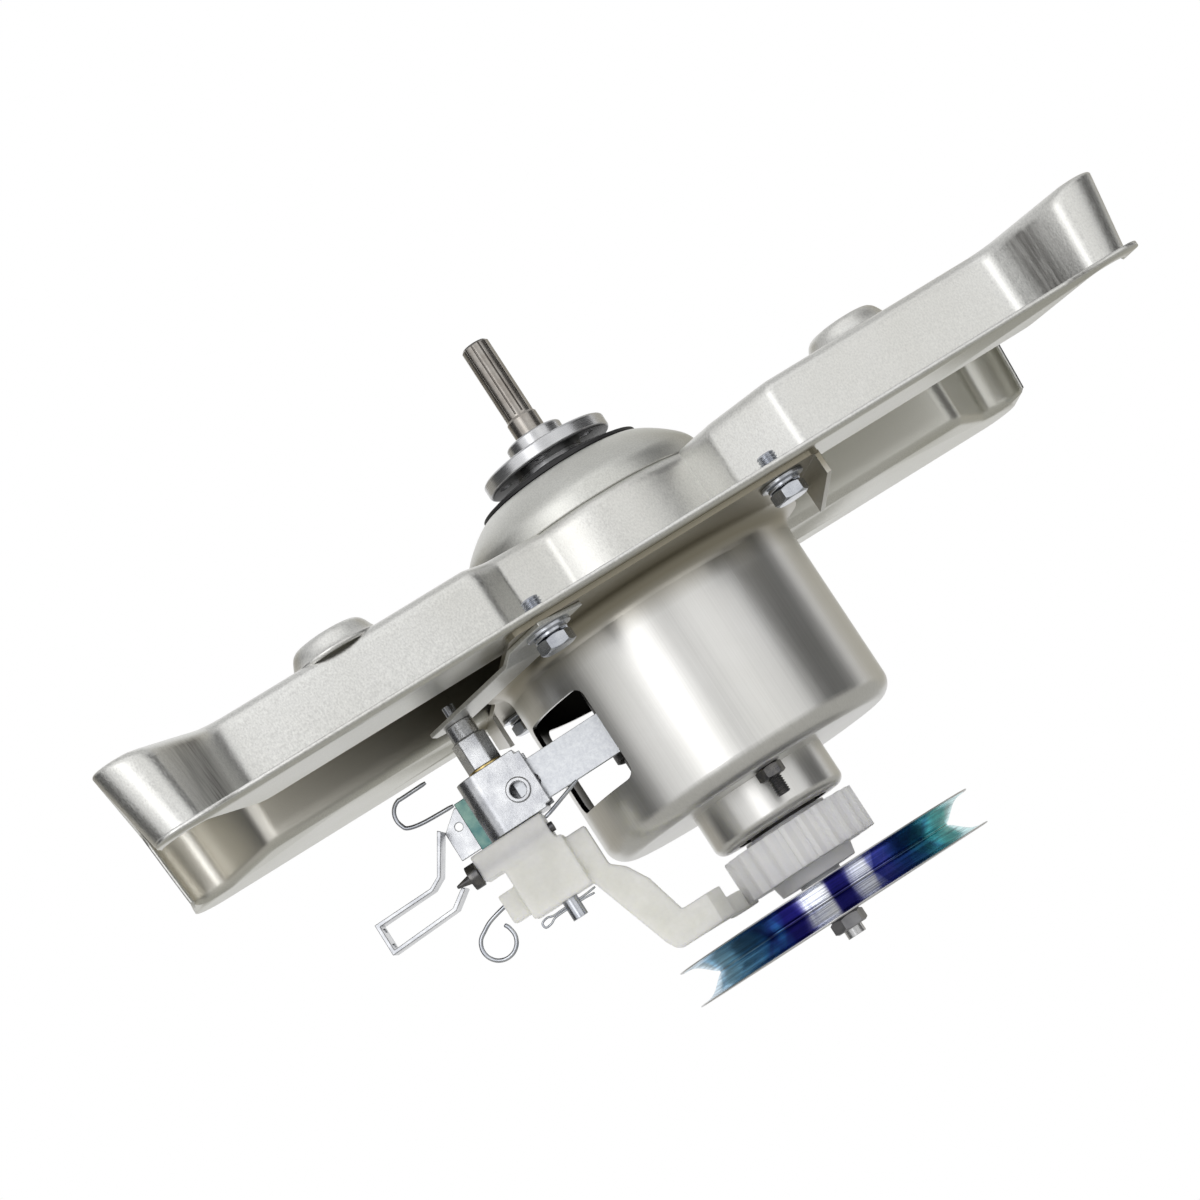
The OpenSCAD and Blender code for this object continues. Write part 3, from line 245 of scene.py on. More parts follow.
def revolved(name, profile, centre=(0, 0), steps=64):
    """A profile of (radius, z) rows turned about the vertical line through centre."""
    profile = np.asarray(profile, float)
    points = about(centre, profile[:, :1], full_turn(steps), profile[:, 1:])
    return grid_mesh(name, points, close_v=True)


def flowing(knots, steps=6):
    """A Catmull-Rom curve through the knots: each span mixes its four nearest knots by cubics."""
    knots = np.asarray(knots, float)
    k = np.concatenate([[2*knots[0] - knots[1]], knots, [2*knots[-1] - knots[-2]]])
    t = np.linspace(0, 1, steps, endpoint=False)[None, :, None]
    a, b, c, d = k[:-3, None], k[1:-2, None], k[2:-1, None], k[3:, None]
    spans = 0.5*(2*b + (c - a)*t + (2*a - 5*b + 4*c - d)*t**2 + (3*b - a - 3*c + d)*t**3)
    return np.concatenate([spans.reshape(-1, knots.shape[1]), knots[-1:]])


# %% Pan wall
turret = np.radians(np.linspace(-119, -51, 25))
turret_path = TURRET_R*np.stack([np.cos(turret), np.sin(turret)], 1)
front_left = softened([[-HALF, -MOUTH, 0], [-HALF, -LOBE_Y, LOBE_R], [-HALF + LOBE_FLAT, -LOBE_Y, LOBE_BEND],
                       [-HALF + LOBE_LEN, -WALL_Y, LOBE_BEND], [-60, -WALL_Y, LOBE_BEND], [-49, -55, 4],
                       [*turret_path[0], 0]])
front_right = softened([[*turret_path[-1], 0], [46, -58, 10], [72, -RIGHT_WALL_Y, 10],
                        [HALF - LOBE_LEN, -RIGHT_WALL_Y, LOBE_BEND], [HALF - LOBE_FLAT, -LOBE_Y, LOBE_BEND],
                        [HALF, -LOBE_Y, LOBE_R], [HALF, -MOUTH, 0]])
back = softened([[HALF, BACK_MOUTH, 0], [HALF, BACK_LOBE_Y, LOBE_R],
                 [HALF - LOBE_FLAT, BACK_LOBE_Y, LOBE_BEND], [HALF - LOBE_LEN, WALL_Y, LOBE_BEND],
                 [-HALF + LOBE_LEN, WALL_Y, LOBE_BEND],
                 [-HALF + LOBE_FLAT, BACK_LOBE_Y, LOBE_BEND], [-HALF, BACK_LOBE_Y, LOBE_R],
                 [-HALF, BACK_MOUTH, 0]])
front = refined(np.concatenate([front_left[:-1], turret_path, front_right[1:]]), PATH_STEP)
back = refined(back, PATH_STEP)
side_y = np.linspace(-MOUTH, BACK_MOUTH, SIDE_STEPS + 2)[1:-1]
right, left = [np.stack([np.full(SIDE_STEPS, sign*HALF), side_y[::sign]], 1) for sign in (1, -1)]
pan = np.concatenate([front, right, back, left])
print("pan outline", len(pan), "points")


def leaned(ring, z):
    """The ring at height z, its ends leaned outwards in proportion to height, and more the farther along
    the lobe. The back corners lean by BACK_FLARE of the front ones."""
    height = (z - FLANGE_TOP + SHEET)/(PAN_TOP - FLANGE_TOP + SHEET) + np.zeros(len(ring))
    share = np.clip((np.abs(ring[:, 0]) - HALF + LOBE_LEN)/LOBE_LEN, 0, 1)
    share = share**FLARE_CURVE*np.interp(ring[:, 1], [-MOUTH, BACK_MOUTH], [1, BACK_FLARE])
    x = ring[:, 0] + np.sign(ring[:, 0])*FLARE*np.maximum(height, 0)*share
    return np.column_stack([x, ring[:, 1], z + np.zeros(len(ring))])


at_end = np.clip((np.abs(pan[:, 0]) - HALF + LOBE_FLAT)/LOBE_FLAT, 0, 1)
foot_out = FOOT_BEND*(1 - at_end)
foot = [leaned(moved_in(pan, -foot_out*(1 - np.sin(a))), FLANGE_TOP + FOOT_BEND*(1 - np.cos(a)))
        for a in np.radians(np.linspace(0, 90, 5))]
top_bend = TOP_BEND*(1 - END_TIGHTER*at_end)
wall_height = PAN_TOP - top_bend - FLANGE_TOP - FOOT_BEND
wall = [leaned(moved_in(pan, DRAFT*share*np.ones(len(pan))), FLANGE_TOP + FOOT_BEND + share*wall_height)
        for share in np.linspace(0, 1, 7)[1:]]
bend = [leaned(moved_in(pan, DRAFT + top_bend*(1 - np.cos(a))), PAN_TOP - top_bend*(1 - np.sin(a)))
        for a in np.radians(np.linspace(0, 90, 9))[1:]]
rows = np.stack(foot + wall + bend)
pan_wall = grid_mesh("pan_wall", rows, close_v=True)

# %% Open ends
corners = rows.reshape(-1, 3)
quads = np.array([polygon.vertices[:] for polygon in pan_wall.data.polygons])
mid_x, mid_y, mid_z = corners[quads].mean(1).T
open_end = (np.abs(mid_x) > HALF - NEAR_END) & (mid_z < PAN_TOP - LIP_DROP)
open_end &= (mid_y > -MOUTH) & (mid_y < BACK_MOUTH)
pan_wall.data.clear_geometry()
pan_wall.data.from_pydata((corners*MM).tolist(), [], quads[~open_end].tolist())


# %% Flange, top, dome and pads
def flange(name, base, edge, mouth, corner, sign):
    """The flange beside one wall, between the wall's foot and a straight outer edge with small corners.
    sign is 1 in front and -1 at the back."""
    in_mouth = (np.abs(base[:, 0]) > HALF - 1) & (np.abs(base[:, 1]) < mouth + 1)
    lobe = base[~in_mouth]
    end = sign*(HALF + FLANGE_PAST)
    outer = softened([[*lobe[0], 0], [-end, -sign*edge, corner], [end, -sign*edge, corner], [*lobe[-1], 0]])
    holes = [circle((x, -sign*BOLT_Y), BOLT_HOLE, 24) for x in (-BOLT_X, BOLT_X)]
    return filled(name, np.concatenate([outer[:-1], lobe[:0:-1]]), holes, FLANGE_TOP)


foot_row = rows[0][:, :2]
front_foot, back_foot = foot_row[:len(front)], foot_row[len(front) + SIDE_STEPS:len(pan) - SIDE_STEPS]
flange_front = flange("flange_front", front_foot, FRONT_EDGE, MOUTH, FRONT_CORNER, 1)
flange_back = flange("flange_back", back_foot, BACK_EDGE, BACK_MOUTH, BACK_CORNER, -1)

PAD_PROFILE = [[PAD_FOOT, PAN_TOP], [18.6, PAN_TOP + 0.5], [17.4, -5.4], [15.8, -2.2], [14.4, -0.6],
               [12.6, 0.0], [PAD_HOLE + 0.6, 0.0], [PAD_HOLE, -0.5], [PAD_HOLE, -1.2]]
pad_places = [(x, y) for x in (-PAD_X, PAD_X) for y in (-PAD_Y, PAD_Y)]
pads = [revolved("pad", flowing(PAD_PROFILE), place) for place in pad_places]
top_holes = [circle(place, PAD_FOOT) for place in pad_places] + [circle((0, 0), DOME_HOLE, 128)]
pan_top = filled("pan_top", rows[-1][:, :2], top_holes, PAN_TOP)
skin = joined("bracket_skin", [pan_wall, flange_front, flange_back, pan_top] + pads)
skin = tidy_normals(skin, 40, sheet=True)
DOME_PROFILE = [[54.4, PAN_TOP - 0.9], [54.2, -5.5], [53.9, -3.4], [53.0, -1.0], [51.0, 1.8], [47.8, 5.0],
                [44.2, 8.0], [40.4, 10.7], [36.6, 12.7], [33.5, 13.15], [29.0, 13.15]]
dome_skin = tidy_normals(revolved("dome_skin", flowing(DOME_PROFILE), steps=160), 60, sheet=True)
for piece in (skin, dome_skin):
    shell = piece.modifiers.new("sheet", "SOLIDIFY")
    shell.thickness = SHEET*MM
    shell.offset = -1
    shell.use_quality_normals = True
    shell.material_offset = 1
    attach(piece, "mounting")
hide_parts("bracket")
print("bracket skin", len(skin.data.polygons), "faces, dome", len(dome_skin.data.polygons))

# %% [markdown]
# ## Softened edges
# Punched sheet, turned nuts and moulded nylon have no knife edges, and the thin bright line along an edge is
# what makes metal look like metal. A CAD node's own mesh is left alone: a copy has its doubled points merged
# and its flat triangles joined into whole faces, and a live Bevel then rounds every edge above an angle.
# The moulded pawl is remeshed and smoothed instead.

# %% Eased copies
rides_on = {node: body for body, group in frame["record"]["behaviour"]["bodies"].items() for node in group}


def eased(name, width, steps=2, angle=32):
    """A copy of a CAD node whose edges sharper than angle are rounded over width, in mm. It rides on the
    node's body and stands for the node."""
    bm = bmesh.new()
    bm.from_mesh(nodes[name].data)
    bmesh.ops.remove_doubles(bm, verts=bm.verts, dist=2e-6)
    bmesh.ops.dissolve_limit(bm, angle_limit=math.radians(1.0), verts=bm.verts, edges=bm.edges)
    mesh = bpy.data.meshes.new(name + "_eased")
    bm.to_mesh(mesh)
    bm.free()
    mesh.polygons.foreach_set("use_smooth", np.ones(len(mesh.polygons), bool))
    obj = in_scene(name + "_eased", mesh)
    soft = obj.modifiers.new("edges", "BEVEL")
    soft.width = width*MM
    soft.segments = steps
    soft.limit_method = "ANGLE"
    soft.angle_limit = math.radians(angle)
    soft.use_clamp_overlap = False
    soft.miter_outer = "MITER_ARC"
    even = obj.modifiers.new("even", "WEIGHTED_NORMAL")
    even.keep_sharp = False
    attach(obj, rides_on[name])
    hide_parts(name)
    return obj


EASED = {"brake_lever": 0.3, "pull_lever": 0.28, "lever_strap": 0.35, "band_arm": 0.3, "spring_plate": 0.3,
         "standoff_nut": 0.45, "pawl": 0.7, "ratchet_wheel": 0.3, "tub_flange": 0.35, "adjust_screw": 0.3,
         "band_anchor": 0.3}
soft_copy = {name: eased(name, width) for name, width in EASED.items()}

# %% Moulded pawl
moulded = soft_copy["pawl"]
moulded.modifiers.clear()
melt = moulded.modifiers.new("melt", "REMESH")
melt.mode = "VOXEL"
melt.voxel_size = 0.5*MM
melt.use_smooth_shade = True
flow = moulded.modifiers.new("flow", "SMOOTH")
flow.factor = 0.5
flow.iterations = 14
print("eased copies", {name: len(obj.data.polygons) for name, obj in soft_copy.items()})

# %% [markdown]
# ## Fasteners
# Four M8 screws hold the housing can to the bracket, each with a split spring washer between its head and
# a flat washer. A hexagon's radius is a function of the angle round it, and a chamfer cone cuts its corners.
# A thread's radius rises and falls with height, shifted by a share of the turn. Each is one grid.


# %% Hexagons, threads and washers
FACE_SHARE = 0.47
THREAD_DEPTH, THREAD_RUN_IN = 0.6, 0.65
CHAMFER = 0.25
SPLIT_GAP, SPLIT_LIFT = math.radians(8), 0.9


def hexagon(name, centre, across, low, high, bore=0.0, steps=96):
    """A chamfered hexagon standing on Z. At angle t its radius is half the width across flats over the
    cosine of the angle to the nearest flat's middle. A cone of 30 degrees cuts the corners at both ends,
    down to a round face whose radius is FACE_SHARE of the width."""
    turn = full_turn(steps)
    edge = across/2/np.cos(turn % (np.pi/3) - np.pi/6)
    face = np.full(steps, FACE_SHARE*across)
    drop = (edge - face)*math.tan(math.pi/6)
    hole = np.full(steps, bore)
    flat = np.zeros(steps)
    radius = np.stack([hole, face, edge, edge, face, hole])
    height = np.stack([flat + low, flat + low, low + drop, high - drop, flat + high, flat + high])
    points = about(centre, radius, turn, height)
    return tidy_normals(grid_mesh(name, points, close_u=bore > 0, close_v=True), 20)


def threaded(name, centre, radius, pitch, low, high, steps=28):
    """A threaded rod on Z. The radius at height z and angle t is the crest less the depth times a triangle
    wave of z/pitch - t/turn, and both ends run in as a cone. Depth and run-in are shares of the pitch."""
    turn = full_turn(steps)
    z = np.linspace(low, high, int((high - low)/pitch*8) + 2)[:, None]
    wave = np.abs(2*((z/pitch - turn/(2*np.pi)) % 1) - 1)
    ends = np.minimum(z - low, high - z)
    reach = np.minimum(radius - THREAD_DEPTH*pitch*wave, radius - THREAD_RUN_IN*pitch + ends)
    return tidy_normals(grid_mesh(name, about(centre, reach, turn, z), close_v=True, caps=True), 50)


def washer(name, centre, outer, inner, low, high, split=False, steps=60):
    """A turned ring with small chamfers. A split one leaves a gap, and its ends stand apart in height."""
    rim = outer - CHAMFER
    profile = np.array([[inner, low], [rim, low], [outer, low + CHAMFER], [outer, high - CHAMFER],
                        [rim, high], [inner, high]])
    turn = (np.linspace(SPLIT_GAP, 2*np.pi, steps) if split else full_turn(steps))[:, None]
    lift = (turn/(2*np.pi) - 0.5)*(SPLIT_LIFT if split else 0.0)
    points = about(centre, profile[:, 0], turn, profile[:, 1] + lift)
    return tidy_normals(grid_mesh(name, points, close_u=not split, close_v=True, caps=split), 20)


# %% Housing screws
SEAT, STRAP_SEAT = -46.5, -48.3
WASHER, SPRING, HEAD = 1.6, 1.9, 5.3
SPRING_PLAY, SHANK_IN_HEAD = 0.2, 1.0
FLAT_R, SPRING_R, BORE_R = 9.2, 6.9, 4.2
M8_ACROSS, M8_RADIUS, M8_PITCH = 13.0, 3.98, 1.25
TIP = -35.5
screws = []
for x, y in ((-BOLT_X, -BOLT_Y), (BOLT_X, -BOLT_Y), (-BOLT_X, BOLT_Y), (BOLT_X, BOLT_Y)):
    seat = STRAP_SEAT if x < 0 and y < 0 else SEAT
    head_top = seat - WASHER - SPRING
    spring_low, spring_high = head_top + SPRING_PLAY, seat - WASHER - SPRING_PLAY
    screws += [washer("flat", (x, y), FLAT_R, BORE_R, seat - WASHER, seat),
               washer("spring", (x, y), SPRING_R, BORE_R, spring_low, spring_high, split=True),
               hexagon("head", (x, y), M8_ACROSS, head_top - HEAD, head_top),
               threaded("shank", (x, y), M8_RADIUS, M8_PITCH, head_top - SHANK_IN_HEAD, TIP)]
screw_set = joined("housing_screws", screws)
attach(screw_set, "mounting")
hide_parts("housing_bolts", "bolt_washers")
print("screw set", len(screw_set.data.polygons), "faces")

# %% Stud and nuts below
STUD = (-1.75, -42.39)
STUD_LOW, STUD_HIGH = -143.0, -126.0
M6_ACROSS, M6_RADIUS, M6_PITCH = 10.0, 3.0, 1.0
NUT_LOW, NUT_HIGH = -199.45, -193.95
stud_parts = [threaded("stud", STUD, M6_RADIUS, M6_PITCH, STUD_LOW, STUD_HIGH),
              hexagon("stud_nut", STUD, M6_ACROSS, -135.5, -130.6, bore=2.6)]
stud_set = joined("stud_and_nut", stud_parts)
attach(stud_set, "mounting")
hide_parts("anchor_stud", "anchor_nut")
nut_parts = [hexagon("nut", (0, 0), M8_ACROSS, NUT_LOW, NUT_HIGH, bore=3.6),
             washer("small", (0, 0), 6.6, 4.0, NUT_HIGH, -192.6),
             washer("wide", (0, 0), 8.5, 4.0, -192.5, -191.05)]
nut_set = joined("pulley_nut_set", nut_parts)
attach(nut_set, "input")
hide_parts("pulley_nut", "pulley_washers")

# %% [markdown]
# ## Wires
# Four bent wires work at the lever: the hook of the lever's torsion spring, the ring spring in the pawl, the
# short return spring, and the split pin through the lever pin. Each is a circle carried along a smooth
# curve.


# %% Wire helper
PIN_TURN = math.radians(-10.5)
PIN_BACK = (-85.0, -38.0)
END_TAPER = 0.75


def from_pin(points):
    """Points of the lever's own frame, in mm, moved by the pin's place and turned into the part's frame."""
    points = np.asarray(points, float)
    x, y = points[:, 0] + PIN_BACK[0], points[:, 1] + PIN_BACK[1]
    c, s = math.cos(PIN_TURN), math.sin(PIN_TURN)
    return np.column_stack([c*x - s*y, s*x + c*y, points[:, 2]])


def wire(name, knots, radius, sides=14):
    """A round wire through knots. Across each point stand two unit vectors: the tangent crossed with the
    lever frame's depth axis, and that crossed with the tangent. Cosine and sine weigh them round the ring.
    The last ring at each end is narrower."""
    path = from_pin(flowing(knots, 7))
    tangent = np.gradient(path, axis=0)
    tangent /= np.linalg.norm(tangent, axis=1, keepdims=True)
    depth = np.array([-math.sin(PIN_TURN), math.cos(PIN_TURN), 0.0])
    across = np.cross(tangent, depth)
    across /= np.linalg.norm(across, axis=1, keepdims=True)
    third = np.cross(across, tangent)
    turn = full_turn(sides)
    ends = np.ones(len(path))
    ends[[0, -1]] = END_TAPER
    ring = np.cos(turn)[None, :, None]*across[:, None] + np.sin(turn)[None, :, None]*third[:, None]
    points = path[:, None] + radius*ends[:, None, None]*ring
    return tidy_normals(grid_mesh(name, points, close_v=True, caps=True), 50)


def arc_knots(centre, radius_x, radius_z, angles, y):
    """Knots on an ellipse in the lever frame's XZ plane."""
    t = np.radians(angles)
    x = centre[0] + radius_x*np.cos(t)
    z = centre[1] + radius_z*np.sin(t)
    return np.column_stack([x, np.full(len(t), y), z])


# %% Springs and split pin
HOOK_Z, HOOK_Y = -76.0, 12.5
hook = np.concatenate([[[-24, HOOK_Y, HOOK_Z + 13.5], [-35, HOOK_Y, HOOK_Z + 13.4]],
                       arc_knots((-35.5, HOOK_Z + 7.2), -6.0, 6.4, np.arange(75, -51, -25), HOOK_Y),
                       [[-33, HOOK_Y, HOOK_Z + 0.8], [-19.6, HOOK_Y, HOOK_Z]]])
RING_Z = -120.2
ring = np.concatenate([[[-16, 0, RING_Z], [-22, 0, RING_Z - 0.4], [-30, 0, RING_Z - 2.2]],
                       arc_knots((-31.9, RING_Z - 10.8), 6.9, 6.9, np.arange(110, 381, 30), 0.0),
                       [[-26.4, 0.4, RING_Z - 6.4]]])
short = [[9.2, -6, -101.0], [13, -6.4, -100.1], [20, -9.2, -98.2], [27.3, -12, -96.2]]
SPLIT_Z = -134.2
split_pin = [[10.8, 0, SPLIT_Z + 1.0], [4.5, 0, SPLIT_Z + 0.45], [-4.5, 0, SPLIT_Z + 0.45],
             [-8.6, 0, SPLIT_Z + 0.3], [-11.2, 0, SPLIT_Z + 1.0], [-13.8, 0, SPLIT_Z + 0.2],
             [-13.6, 0, SPLIT_Z - 1.9], [-11.0, 0, SPLIT_Z - 1.8], [-8.6, 0, SPLIT_Z - 0.7],
             [-4.5, 0, SPLIT_Z - 0.45], [4.5, 0, SPLIT_Z - 0.45], [9.4, 0, SPLIT_Z - 0.8]]
wires = {"lever_spring": wire("hook_wire", hook, 0.88), "pawl_spring": wire("ring_wire", ring, 0.88),
         "return_spring": wire("return_wire", short, 0.78), "cotter_pin": wire("split_pin", split_pin, 0.45)}
for name, obj in wires.items():
    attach(obj, rides_on[name])
    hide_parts(name)
print("wires", [len(obj.data.polygons) for obj in wires.values()])

# %% [markdown]
# ## Belt pulley
# Two pressed dishes stand back to back and form the belt's groove. Each is a profile turned about the axis.
# The groove keeps the rainbow of its blue passivated zinc, while the rims and faces are rubbed silver, so
# the faces on the belt's side take a second material. BELT_SIDE is that side's height over the middle plane
# at some radii.

# %% Pulley dishes
DISH_MIDDLE = -185.85
GROOVE_RIM, GROOVE_SLACK = 65.6, 0.4
BELT_SIDE = ((52.6, 0), (54.8, 1.5), (58.6, 4.87), (60.9, 6.3), (63.4, 6.95), (66.9, 7.2))
DISH = flowing([[12, 0], [32, 0], [51.5, 0.02], [53.0, 0.3], [54.8, 1.5], [58.6, 4.87], [60.9, 6.3],
                [63.4, 6.95], [66.0, 7.12], [66.75, 7.3], [66.9, 7.5], [66.6, 7.78], [64.2, 7.85],
                [61.2, 7.72], [58.4, 6.9], [56.4, 5.6], [54.0, 3.6], [52.2, 2.2], [50.4, 1.65], [48, 1.6],
                [30, 1.6], [12, 1.6]], 4)
dishes = []
for side in (1, -1):
    profile = np.column_stack([DISH[:, 0], DISH_MIDDLE + side*(DISH[:, 1] + 0.01)])
    dish = tidy_normals(revolved("dish", profile, steps=180), 50)
    dishes.append(dish)
pulley = joined("pulley_dishes", dishes)
middle_of = np.array([polygon.center[:] for polygon in pulley.data.polygons])/MM
radius_of = np.hypot(middle_of[:, 0], middle_of[:, 1])
groove_height = np.interp(radius_of, *zip(*BELT_SIDE))
from_middle = np.abs(middle_of[:, 2] - DISH_MIDDLE)
belt_side = (radius_of < GROOVE_RIM) & (from_middle < groove_height + GROOVE_SLACK)
pulley.data.polygons.foreach_set("material_index", belt_side.astype(np.int32))
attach(pulley, "input")
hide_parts("pulley_upper", "pulley_lower")
print("pulley", len(pulley.data.polygons), "faces,", int(belt_side.sum()), "in the groove")

# %% [markdown]
# ## Finishes
# Plated sheet, ground steel and moulded nylon differ mostly in how rough they are and which way
# their grain runs. One builder makes all of them, except the pulley's groove, from Object coordinates in
# metres: slow noise mixes two colours, and a stretched noise draws the grain in the shade, the roughness
# and a small bump. A further function then changes the colour in one place; most of these are painted
# shade, such as on an inner wall.


# %% Material builder
SLOW_RANGE, GRAIN_RANGE = (0.35, 0.65), (0.3, 0.7)
BUMP_DISTANCE = 0.0005


def blank(name):
    """A new material, its node tree and its shader node."""
    mat = bpy.data.materials.new(name)
    mat.use_nodes = True
    return mat, mat.node_tree, mat.node_tree.nodes["Principled BSDF"]


def plug(tree, value, slot):
    """Feeds an input slot: a socket is linked to it, and a constant becomes its value."""
    if isinstance(value, bpy.types.NodeSocket):
        tree.links.new(value, slot)
    else:
        slot.default_value = value


def worked_out(tree, kind, operation, *values):
    """The result of a Math or VectorMath node, each value a socket or a constant."""
    node = tree.nodes.new("ShaderNode" + kind)
    node.operation = operation
    for value, slot in zip(values, node.inputs):
        plug(tree, value, slot)
    one_number = kind == "Math" or operation in ("LENGTH", "DOT_PRODUCT")
    return node.outputs["Value" if one_number else "Vector"]


def noise(tree, vector, scale, detail=3.0, roughness=0.5):
    """Noise over the vector socket, from 0 to 1."""
    node = tree.nodes.new("ShaderNodeTexNoise")
    for key, value in (("Vector", vector), ("Scale", scale), ("Detail", detail), ("Roughness", roughness)):
        plug(tree, value, node.inputs[key])
    return node.outputs["Fac"]


def stretched(tree, coords, scale):
    """The Object coordinates in metres times a scale along X, Y and Z."""
    node = tree.nodes.new("ShaderNodeMapping")
    plug(tree, scale, node.inputs["Scale"])
    plug(tree, coords.outputs["Object"], node.inputs["Vector"])
    return node.outputs["Vector"]


def remap(tree, socket, low, high, to_low, to_high):
    """Map Range from low..high to to_low..to_high, held at its ends."""
    node = tree.nodes.new("ShaderNodeMapRange")
    for key, value in (("Value", socket), ("From Min", low), ("From Max", high), ("To Min", to_low),
                       ("To Max", to_high)):
        plug(tree, value, node.inputs[key])
    return node.outputs["Result"]


def blend_colours(tree, factor, first, second, mode="MIX"):
    """Mix of two colours, each given as a socket or as three numbers."""
    node = tree.nodes.new("ShaderNodeMix")
    node.data_type = "RGBA"
    node.blend_type = mode
    for slot, value in ((0, factor), (6, first), (7, second)):
        plug(tree, (*value, 1) if isinstance(value, tuple) else value, node.inputs[slot])
    return node.outputs[2]


def finish(name, colour, tint, rough, metallic=1.0, grain=(2200, 2200, 2200), grain_depth=0.06, patch=30.0,
           spread=0.04, bump=0.01, edge=0.3, subsurface=0.0, shade_and_marks=None):
    """A surface finish. colour and tint are mixed by slow noise of frequency patch per metre. grain is the
    noise frequency per metre along X, Y and Z: a low number draws lines along that axis. edge is the
    radius in mm that the shading rounds edges to. The last argument takes the tree, the base colour and
    the coordinate node and returns a new base colour, mostly one with painted shade."""
    mat, tree, shader = blank(name)
    coords = tree.nodes.new("ShaderNodeTexCoord")
    slow = noise(tree, coords.outputs["Object"], patch, detail=4.0, roughness=0.6)
    lines = noise(tree, stretched(tree, coords, grain), 1.0, roughness=0.6)
    base = blend_colours(tree, remap(tree, slow, *SLOW_RANGE, 0, 1), colour, tint)
    shade = remap(tree, lines, *GRAIN_RANGE, 1 - grain_depth, 1)
    grey = tree.nodes.new("ShaderNodeCombineColor")
    for key in ("Red", "Green", "Blue"):
        plug(tree, shade, grey.inputs[key])
    base = blend_colours(tree, 1.0, base, grey.outputs["Color"], "MULTIPLY")
    if shade_and_marks:
        base = shade_and_marks(tree, base, coords)
    plug(tree, base, shader.inputs["Base Color"])
    gloss = remap(tree, lines, *GRAIN_RANGE, rough - spread, rough + spread)
    plug(tree, gloss, shader.inputs["Roughness"])
    height = tree.nodes.new("ShaderNodeBump")
    for key, value in (("Strength", bump), ("Distance", BUMP_DISTANCE), ("Height", lines)):
        plug(tree, value, height.inputs[key])
    if edge:
        soft_edge = tree.nodes.new("ShaderNodeBevel")
        soft_edge.samples = 4
        soft_edge.inputs["Radius"].default_value = edge*MM
        plug(tree, soft_edge.outputs["Normal"], height.inputs["Normal"])
    plug(tree, height.outputs["Normal"], shader.inputs["Normal"])
    shader.inputs["Metallic"].default_value = metallic
    if subsurface:
        shader.inputs["Subsurface Weight"].default_value = subsurface
        shader.inputs["Subsurface Radius"].default_value = (0.006, 0.006, 0.005)
        shader.inputs["Subsurface Scale"].default_value = 1.0
    return mat


def dress(mat, *names):
    """Puts one material on CAD nodes or on new pieces, and on the eased copy where a node has one."""
    for name in names:
        both = [nodes[name], soft_copy.get(name)] if isinstance(name, str) else [name]
        for obj in filter(None, both):
            obj.data.materials.clear()
            obj.data.materials.append(mat)
            for index in range(len(obj.material_slots)):
                obj.material_slots[index].material = mat


# %% Painted shade and other colour marks
CAN_REACH = (0.068, 0.071)
CAN_NECK = (-0.062, -0.050)
ABOVE_FLANGE = (-0.0440, -0.0405)
# Where along X the painted light and shade inside the pan changes, on the left and on the right.
LEFT_SHADE_SPAN, RIGHT_SHADE_SPAN = (-0.19, -0.085), (-0.05, 0.11)
LOBE_BAND_IN, LOBE_BAND_OUT = (0.1775, 0.1815), (0.186, 0.196)
FRONT_ONLY = (-0.062, -0.052)
UPRIGHT = (0.25, 0.6)
DOWNWARD = (-0.95, -0.6)
SPLINE_ROOT = (0.0054, 0.0060)
TOWARDS_AXIS = (-0.012, -0.002)
DRAW_LINES, STREAK_RANGE = (700, 700, 20), (0.38, 0.62)
# Two tones of painted shade on the slanted lobe faces, mixed by the draw lines.
LOBE_SHADE_DARK, LOBE_SHADE_LIGHT = (0.24, 0.235, 0.225), (0.42, 0.415, 0.40)
# Painted light and shade inside the pan: far left, the painted shadow behind the lever, far right.
FAR_LEFT, SHADOW_BEHIND_LEVER, FAR_RIGHT = (0.82, 0.80, 0.74), (0.15, 0.14, 0.11), (0.66, 0.655, 0.61)
# Near black painted shade inside the can, and brownish painted shade on its neck and under its flange.
CAN_INSIDE_SHADE, NECK_SHADE = (0.035, 0.033, 0.03), (0.31, 0.285, 0.225)
# A dark colour between the splines, and the black painted shade on the disc's underside.
ROOT_DARK, UNDERSIDE_SHADE = (0.05, 0.045, 0.04), (0.03, 0.03, 0.03)


def parts_of(tree, socket):
    """A vector's X, Y and Z as three sockets."""
    node = tree.nodes.new("ShaderNodeSeparateXYZ")
    plug(tree, socket, node.inputs[0])
    return node.outputs


def from_axis(tree, coords):
    """The vector from the object's axis: the Object coordinates without their height."""
    return worked_out(tree, "VectorMath", "MULTIPLY", coords.outputs["Object"], (1, 1, 0))


def reach_of(tree, coords):
    """The distance from the object's axis."""
    return worked_out(tree, "VectorMath", "LENGTH", from_axis(tree, coords))


def facing_axis(tree, coords):
    """1 where the surface looks at the object's axis: the normal times the vector from it is negative."""
    dot = worked_out(tree, "VectorMath", "DOT_PRODUCT", from_axis(tree, coords), coords.outputs["Normal"])
    return remap(tree, dot, *TOWARDS_AXIS, 1, 0)


def shaded_can_inside(tree, base, coords):
    """Painted shade: the can's inner wall goes near black, but not the tabs outside CAN_REACH. The neck and
    the underside of the can's flange take a brownish painted shade."""
    z = parts_of(tree, coords.outputs["Object"])["Z"]
    past_wall = remap(tree, reach_of(tree, coords), *CAN_REACH, 0, 1)
    in_can = blend_colours(tree, past_wall, CAN_INSIDE_SHADE, base)
    outside = blend_colours(tree, remap(tree, z, *CAN_NECK, 0, 1), base, NECK_SHADE)
    return blend_colours(tree, facing_axis(tree, coords), outside, in_can)


